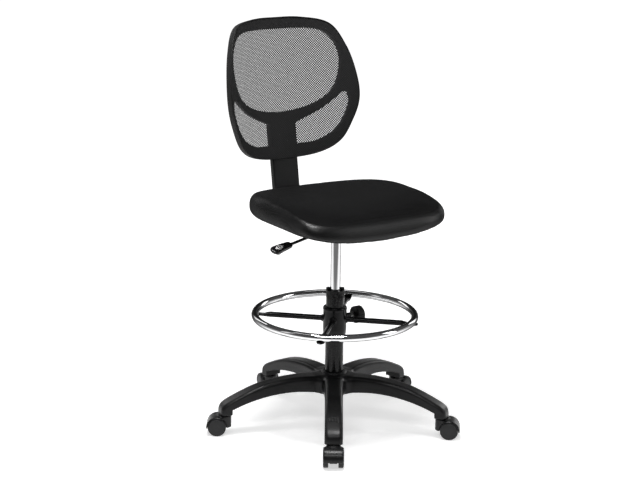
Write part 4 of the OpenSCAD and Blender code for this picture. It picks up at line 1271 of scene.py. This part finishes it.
def both_sides(half, top, low):
    return [(0, top)] + half + [(0, low)] + [(-x, z) for x, z in reversed(half)]


def back_outline(steps):
    return smooth_loop(both_sides(OUTLINE, 404, 11), steps)


def back_windows():
    upper = smooth_loop(both_sides(WINDOW, 373, 141), 6)
    lower = np.concatenate([smooth_loop(LOWER_TOP, 5, False), smooth_loop(LOWER_BOTTOM, 5, False)])
    return [upper, lower, lower[::-1] * [-1, 1]]


def at_back(points):
    """Points given as (across, behind the front face, up the back), bent to the back's curve and placed."""
    x, depth, z = np.asarray(points, float).T
    y = np.sqrt((BACK_CURVE + depth) ** 2 - x**2) - BACK_CURVE
    return lean_back(np.stack([x, y, z], 1))


def lean_back(points):
    """Points of the back's own straight frame, placed in the chair."""
    x, y, z = np.asarray(points, float).T
    c, s = math.cos(BACK_LEAN), math.sin(BACK_LEAN)
    return np.stack([x, BACK_Y + y * c + z * s, BACK_Z - y * s + z * c], 1)


class BackField:
    """Field of the moulded back frame, in (across, depth, up) coordinates."""

    def __init__(self, edge):
        self.outline, self.windows, self.edge = back_outline(6), back_windows(), edge

    def __call__(self, x, depth, z):
        flat = flat_distance(self.outline, x, z)
        for window in self.windows:
            flat = cut(flat, -flat_distance(window, x, z), 3)
        shell = cut(flat, np.abs(depth - FRAME_THICK / 2) - FRAME_THICK / 2, self.edge)
        block = cut(np.abs(x) - BRACKET_HALF, np.abs(z - BRACKET_MID) - BRACKET_RISE, 5)
        block = cut(block, np.abs(depth - BRACKET_BACK + 9) - 9, 3)
        body = join(shell, block, 4)
        half_wide, half_thick = BAR_SLOT
        pocket = np.maximum(np.maximum(np.abs(x) - half_wide, z - 123), np.abs(depth - BAR_MID) - half_thick)
        screws = np.maximum(np.hypot(np.abs(x) - 18, np.abs(z - 82.5) - 22.5) - 2.8, 3 - depth)
        return np.maximum(body, -np.minimum(pocket, screws))


def net_points(rounds):
    """Rows of the net as (across, depth, up), from its middle round the rim, and the same rows laid flat."""
    rim = back_outline(rounds)
    ahead = np.roll(rim, -1, 0) - np.roll(rim, 1, 0)
    out = np.stack([-ahead[:, 1], ahead[:, 0]], 1)
    out /= np.linalg.norm(out, axis=1)[:, None]
    if flat_distance(rim, *(rim[0] + out[0])) < 0:
        out = -out
    middle = np.array([0, 205])
    rows = [(middle + (rim - middle) * u, NET_DEPTH) for u in np.linspace(0.02, 0.985, 44)]
    flat = [unbent(row) for row, _ in rows]
    at, length = NET_WRAP[0], NET_WRAP[0][0]
    for shift, depth in NET_WRAP:
        length += math.dist(at, (shift, depth))
        at = (shift, depth)
        rows.append((rim + out * shift, depth))
        flat.append(unbent(rim) + out * length)
    return [np.column_stack([row[:, 0], np.full(len(rim), depth), row[:, 1]]) for row, depth in rows], flat


def unbent(places):
    """Places (across, up) on the net once its bend is rolled flat."""
    return np.column_stack([BACK_CURVE * np.arcsin(places[:, 0] / BACK_CURVE), places[:, 1]])


def tube_rings(path, radius, sides=10):
    """Rings of a thin tube along a closed path of points."""
    path = np.asarray(path)
    ahead = np.roll(path, -1, 0) - np.roll(path, 1, 0)
    ahead /= np.linalg.norm(ahead, axis=1)[:, None]
    outward = path - path.mean(0)
    side = np.cross(ahead, outward)
    side /= np.linalg.norm(side, axis=1)[:, None]
    other = np.cross(side, ahead)
    angles = np.arange(sides) * TAU / sides
    c, s = radius * np.cos(angles), radius * np.sin(angles)
    return [p + np.outer(c, a) + np.outer(s, b) for p, a, b in zip(path, side, other)]


class CHAIR_OT_back(bpy.types.Operator):
    """Moulds the back frame and its sleeve, and stretches the net over them"""

    bl_idname = "chair.back"
    bl_label = "Back"

    def execute(self, context):
        edge = context.scene.chair_shape.frame_edge / MM
        points, quads = skin(BackField(edge), (-224, -4, 4), (224, 38, 407), 2.0)
        frame_piece = build_quads("back_moulding", at_back(points), quads, 60)
        give(frame_piece, finish_of("moulded_plastic"), "seat", ("back_frame",))
        self.stretch_net()
        self.bead()
        self.sleeve()
        return {"FINISHED"}

    def stretch_net(self):
        """Stretches the net over the frame, with its flat places and its wrapped edge as UV maps"""
        rows, flat = net_points(12)
        points, faces = loft(rows)
        net = build("back_net", at_back(points), faces[:-1], 180)
        places = np.concatenate(flat) * MM
        layer = net.data.uv_layers.new(name="Flat")
        corners = np.empty(len(net.data.loops), np.int32)
        net.data.loops.foreach_get("vertex_index", corners)
        layer.data.foreach_set("uv", places[corners].astype(np.float32).ravel())
        on_edge = np.repeat(np.arange(len(rows)) >= len(rows) - len(NET_WRAP), len(rows[0]))
        wrap = net.data.uv_layers.new(name="Wrap")
        wrap.data.foreach_set("uv", np.column_stack([on_edge, on_edge])[corners].astype(np.float32).ravel())
        give(net, finish_of("back_fabric"), "seat", ("back_mesh",))

    def bead(self):
        """Rolls the bead that covers the net's seam along the rim"""
        rows, _ = net_points(10)
        rim = rows[1 - len(NET_WRAP)]
        path = at_back(rim - np.array([0, BEAD_AHEAD, 0]))
        piece = build("back_bead", *loft(tube_rings(path, BEAD_R), closed=True), 180)
        give(piece, finish_of("moulded_plastic"), "seat")

    def sleeve(self):
        """Moulds the sleeve round the upright bar"""
        def field(x, y, z):
            box = cut(np.abs(x) - SLEEVE_HALF, np.abs(y - BAR_MID) - SLEEVE_HALF_THICK, 3.5)
            middle, half = (SLEEVE_HIGH + SLEEVE_LOW) / 2, (SLEEVE_HIGH - SLEEVE_LOW) / 2
            box = cut(box, np.abs(z - middle) - half, 1.5)
            slot = np.maximum(np.abs(x) - BAR_SLOT[0], np.abs(y - BAR_MID) - BAR_SLOT[1])
            return np.maximum(box, -slot)

        points, quads = skin(field, (-44, -2, SLEEVE_LOW - 3), (44, 22, SLEEVE_HIGH + 3), 1.2)
        piece = build_quads("bar_sleeve", lean_back(points), quads, 60)
        give(piece, finish_of("moulded_plastic"), "seat", ("back_bar_sleeve",))


# ---------- pieces carried over from the frame ----------


class CHAIR_OT_carried(bpy.types.Operator):
    """Shades the turned, bent and pressed pieces and gives them their finishes"""

    bl_idname = "chair.carried"
    bl_label = "Carried pieces"

    def execute(self, context):
        for part in frame["record"]["subparts"]:
            node = frame["nodes"][part["node"]]
            soften(node.data, 30)
            node.data.materials.clear()
            node.data.materials.append(finish_of(part["material_slot"]))
        return {"FINISHED"}


# ---------- stage ----------

VIEW_TURN = math.radians(34.5)
CAMERA_TURNS = (-0.56, 14.1, 0.87)
CAMERA_PLACE = (0, -4.5, 1.6575)
FLOOR_HALF = 60000


def from_view(across, away, up):
    """A place given across and away from the camera, in the chair's frame."""
    c, s = math.cos(VIEW_TURN), math.sin(VIEW_TURN)
    return Vector((across * c + away * s, -across * s + away * c, up))


def toward_camera(graph, place):
    """How far a place lies on the side of the main view, as a fixed direction of the studio."""
    inputs = {0: place, 1: from_view(0, -1, 0)}
    return graph.add("ShaderNodeVectorMath", inputs, operation="DOT_PRODUCT").outputs["Value"]


def floor_finish(tone, glow):
    """Pale floor that adds white for the camera and for reflections, and keeps the lamps' shadows; in reflections
    its colour is painted darker towards the camera and far off, as painted shade in place of a dark studio.
    """
    material, g, shader = new_material("Studio floor", Roughness=0.9, Specular_IOR_Level=0.0)
    place = g.place()
    path = g.add("ShaderNodeLightPath").outputs
    reach = g.add("ShaderNodeVectorMath", {0: place}, operation="LENGTH").outputs["Value"]
    seen = g.math("MULTIPLY", path["Is Camera Ray"], g.spread(reach, 0.8, 2.2, glow, 1.0))
    ahead = toward_camera(g, place)
    mirrored = g.math("ADD", path["Is Glossy Ray"], path["Is Transmission Ray"], clamp=True)
    behind = g.math("MULTIPLY", g.spread(ahead, 0.7, 1.4, 1.0, 0.16), g.spread(reach, 2.4, 5.0, 1.0, 0.3))
    patches = g.spread(g.noise(place, 2.0), 0.3, 0.7, 0.985, 1.0)
    # Painted shade for reflections: the floor's colour is dimmed for glossy and transmission rays, most towards
    # the camera and far off.
    painted_reflection_shade = g.math("SUBTRACT", 1.0, g.math("MULTIPLY", mirrored, g.spread(behind, 0.0, 1.0, 1.0, 0.25)))
    g.feed(shader["Base Color"], g.shade(grey(tone), g.math("MULTIPLY", patches, painted_reflection_shade)))
    g.feed(shader["Emission Color"], (1.0, 1.0, 1.0, 1.0))
    mirrored = g.math("MULTIPLY", mirrored, g.math("MULTIPLY", behind, 0.6))
    g.feed(shader["Emission Strength"], g.math("ADD", seen, mirrored))
    g.feed(shader["Alpha"], g.math("SUBTRACT", 1.0, g.add("ShaderNodeNewGeometry").outputs["Backfacing"]))
    return material


def studio_world(ceiling):
    """White behind the chair, pale at the horizon and dim overhead."""
    world = bpy.data.worlds.new("Studio")
    world.use_nodes = True
    world.node_tree.nodes.clear()
    g = Graph(world.node_tree)
    toward = g.add("ShaderNodeTexCoord").outputs["Generated"]
    up = g.add("ShaderNodeSeparateXYZ", {"Vector": toward}).outputs["Z"]
    ahead = toward_camera(g, toward)
    wall = g.blend(g.spread(ahead, 0.1, 0.7), grey(0.5), grey(ceiling))
    tone = g.blend(g.spread(up, 0.12, 0.3), wall, grey(ceiling))
    around = g.add("ShaderNodeBackground", {"Color": tone, "Strength": 1.0}).outputs[0]
    white = g.add("ShaderNodeBackground", {"Color": grey(1.0), "Strength": 1.0}).outputs[0]
    seen = g.add("ShaderNodeLightPath").outputs["Is Camera Ray"]
    mixed = g.add("ShaderNodeMixShader", {0: seen, 1: around, 2: white}).outputs[0]
    g.add("ShaderNodeOutputWorld", {"Surface": mixed})
    return world


def area_lamp(name, place, aim, size, power):
    lamp = bpy.data.lights.new(name, "AREA")
    lamp.shape, lamp.size, lamp.size_y, lamp.energy = "RECTANGLE", size[0], size[1], power
    obj = bpy.data.objects.new(name, lamp)
    obj.location = place
    obj.rotation_mode = "QUATERNION"
    obj.rotation_quaternion = (Vector(aim) - Vector(place)).to_track_quat("-Z", "Y")
    bpy.context.scene.collection.objects.link(obj)
    return obj


class CHAIR_OT_stage(bpy.types.Operator):
    """Lays the floor, hangs the lamps and sets up the camera"""

    bl_idname = "chair.stage"
    bl_label = "Stage"

    def execute(self, context):
        scene, studio = context.scene, context.scene.chair_stage
        corners = [(x * FLOOR_HALF, y * FLOOR_HALF, 0) for x, y in ((-1, -1), (1, -1), (1, 1), (-1, 1))]
        floor = build("studio_floor", corners, [(0, 1, 2, 3)])
        floor.data.materials.append(floor_finish(studio.floor_tone, studio.floor_glow))
        scene.world = studio_world(studio.sky)
        power = studio.lamp_power
        lamps = (
            ("overhead", (-0.3, 0.3, 3.4), (0, 0, 0.5), (2.6, 2.0), 12),
            ("key_box", (-0.2, -0.5, 2.9), (0, 0, 0.6), (1.3, 0.5), 56),
            ("left_box", (-2.6, -0.9, 1.9), (0, 0, 0.55), (0.7, 1.6), 2.5),
            ("right_box", (2.6, -0.3, 1.5), (0, 0, 0.5), (0.6, 1.6), 12),
            ("rear_left_box", (-1.9, 2.4, 1.7), (0, 0, 0.6), (0.8, 1.6), 8),
            ("rear_right_box", (2.0, 2.4, 1.2), (0, 0, 0.4), (0.8, 1.4), 12),
            ("front_box", (-0.4, -3.0, 3.3), (0, 0, 0.6), (2.4, 0.5), 40),
        )
        for name, place, aim, size, energy in lamps:
            area_lamp(name, from_view(*place), from_view(*aim), size, energy * power)
        self.camera(scene, studio)
        scene.view_settings.view_transform = "Standard"
        return {"FINISHED"}

    def camera(self, scene, studio):
        """Sets up the camera of the main view"""
        yaw, pitch, roll = (math.radians(angle) for angle in CAMERA_TURNS)
        ahead = from_view(math.sin(yaw) * math.cos(pitch), math.cos(yaw) * math.cos(pitch), -math.sin(pitch))
        right = from_view(math.cos(yaw), -math.sin(yaw), 0)
        up = right.cross(ahead)
        across = right * math.cos(roll) + up * math.sin(roll)
        over = up * math.cos(roll) - right * math.sin(roll)
        camera = bpy.data.objects.new("camera", bpy.data.cameras.new("camera"))
        camera.data.lens = studio.focal_length
        camera.data.sensor_width = 36
        camera.data.clip_end = 200
        turn = Matrix((across, over, -ahead)).transposed()
        camera.matrix_world = Matrix.Translation(from_view(*CAMERA_PLACE)) @ turn.to_4x4()
        scene.collection.objects.link(camera)
        scene.camera = camera


# ---------- panel and registration ----------


class CHAIR_PT_panel(bpy.types.Panel):
    """Lists the chair's pieces, sizes and finishes"""

    bl_idname = "CHAIR_PT_panel"
    bl_label = "Drafting Chair"
    bl_space_type = "VIEW_3D"
    bl_region_type = "UI"
    bl_category = "Chair"

    def draw(self, context):
        layout = self.layout
        for operator in OPERATORS:
            layout.operator(operator.bl_idname)
        for group in (context.scene.chair_shape, context.scene.chair_finish, context.scene.chair_stage):
            box = layout.box()
            for name in type(group).__annotations__:
                box.prop(group, name)


OPERATORS = (
    CHAIR_OT_carried,
    CHAIR_OT_star_base,
    CHAIR_OT_castors,
    CHAIR_OT_foot_ring,
    CHAIR_OT_lever,
    CHAIR_OT_cushion,
    CHAIR_OT_back,
    CHAIR_OT_stage,
)
GROUPS = {"chair_shape": ChairShape, "chair_finish": ChairFinish, "chair_stage": ChairStage}


def register():
    for name, group in GROUPS.items():
        bpy.utils.register_class(group)
        setattr(bpy.types.Scene, name, bpy.props.PointerProperty(type=group))
    for cls in (*OPERATORS, CHAIR_PT_panel):
        bpy.utils.register_class(cls)


def unregister():
    for cls in reversed((*OPERATORS, CHAIR_PT_panel)):
        bpy.utils.unregister_class(cls)
    for name, group in GROUPS.items():
        delattr(bpy.types.Scene, name)
        bpy.utils.unregister_class(group)


def main():
    register()
    bpy.ops.chair.carried()
    bpy.ops.chair.star_base()
    bpy.ops.chair.castors()
    bpy.ops.chair.foot_ring()
    bpy.ops.chair.lever()
    bpy.ops.chair.cushion()
    bpy.ops.chair.back()
    bpy.ops.chair.stage()
    bpy.context.view_layer.update()


if __name__ == "__main__":
    main()
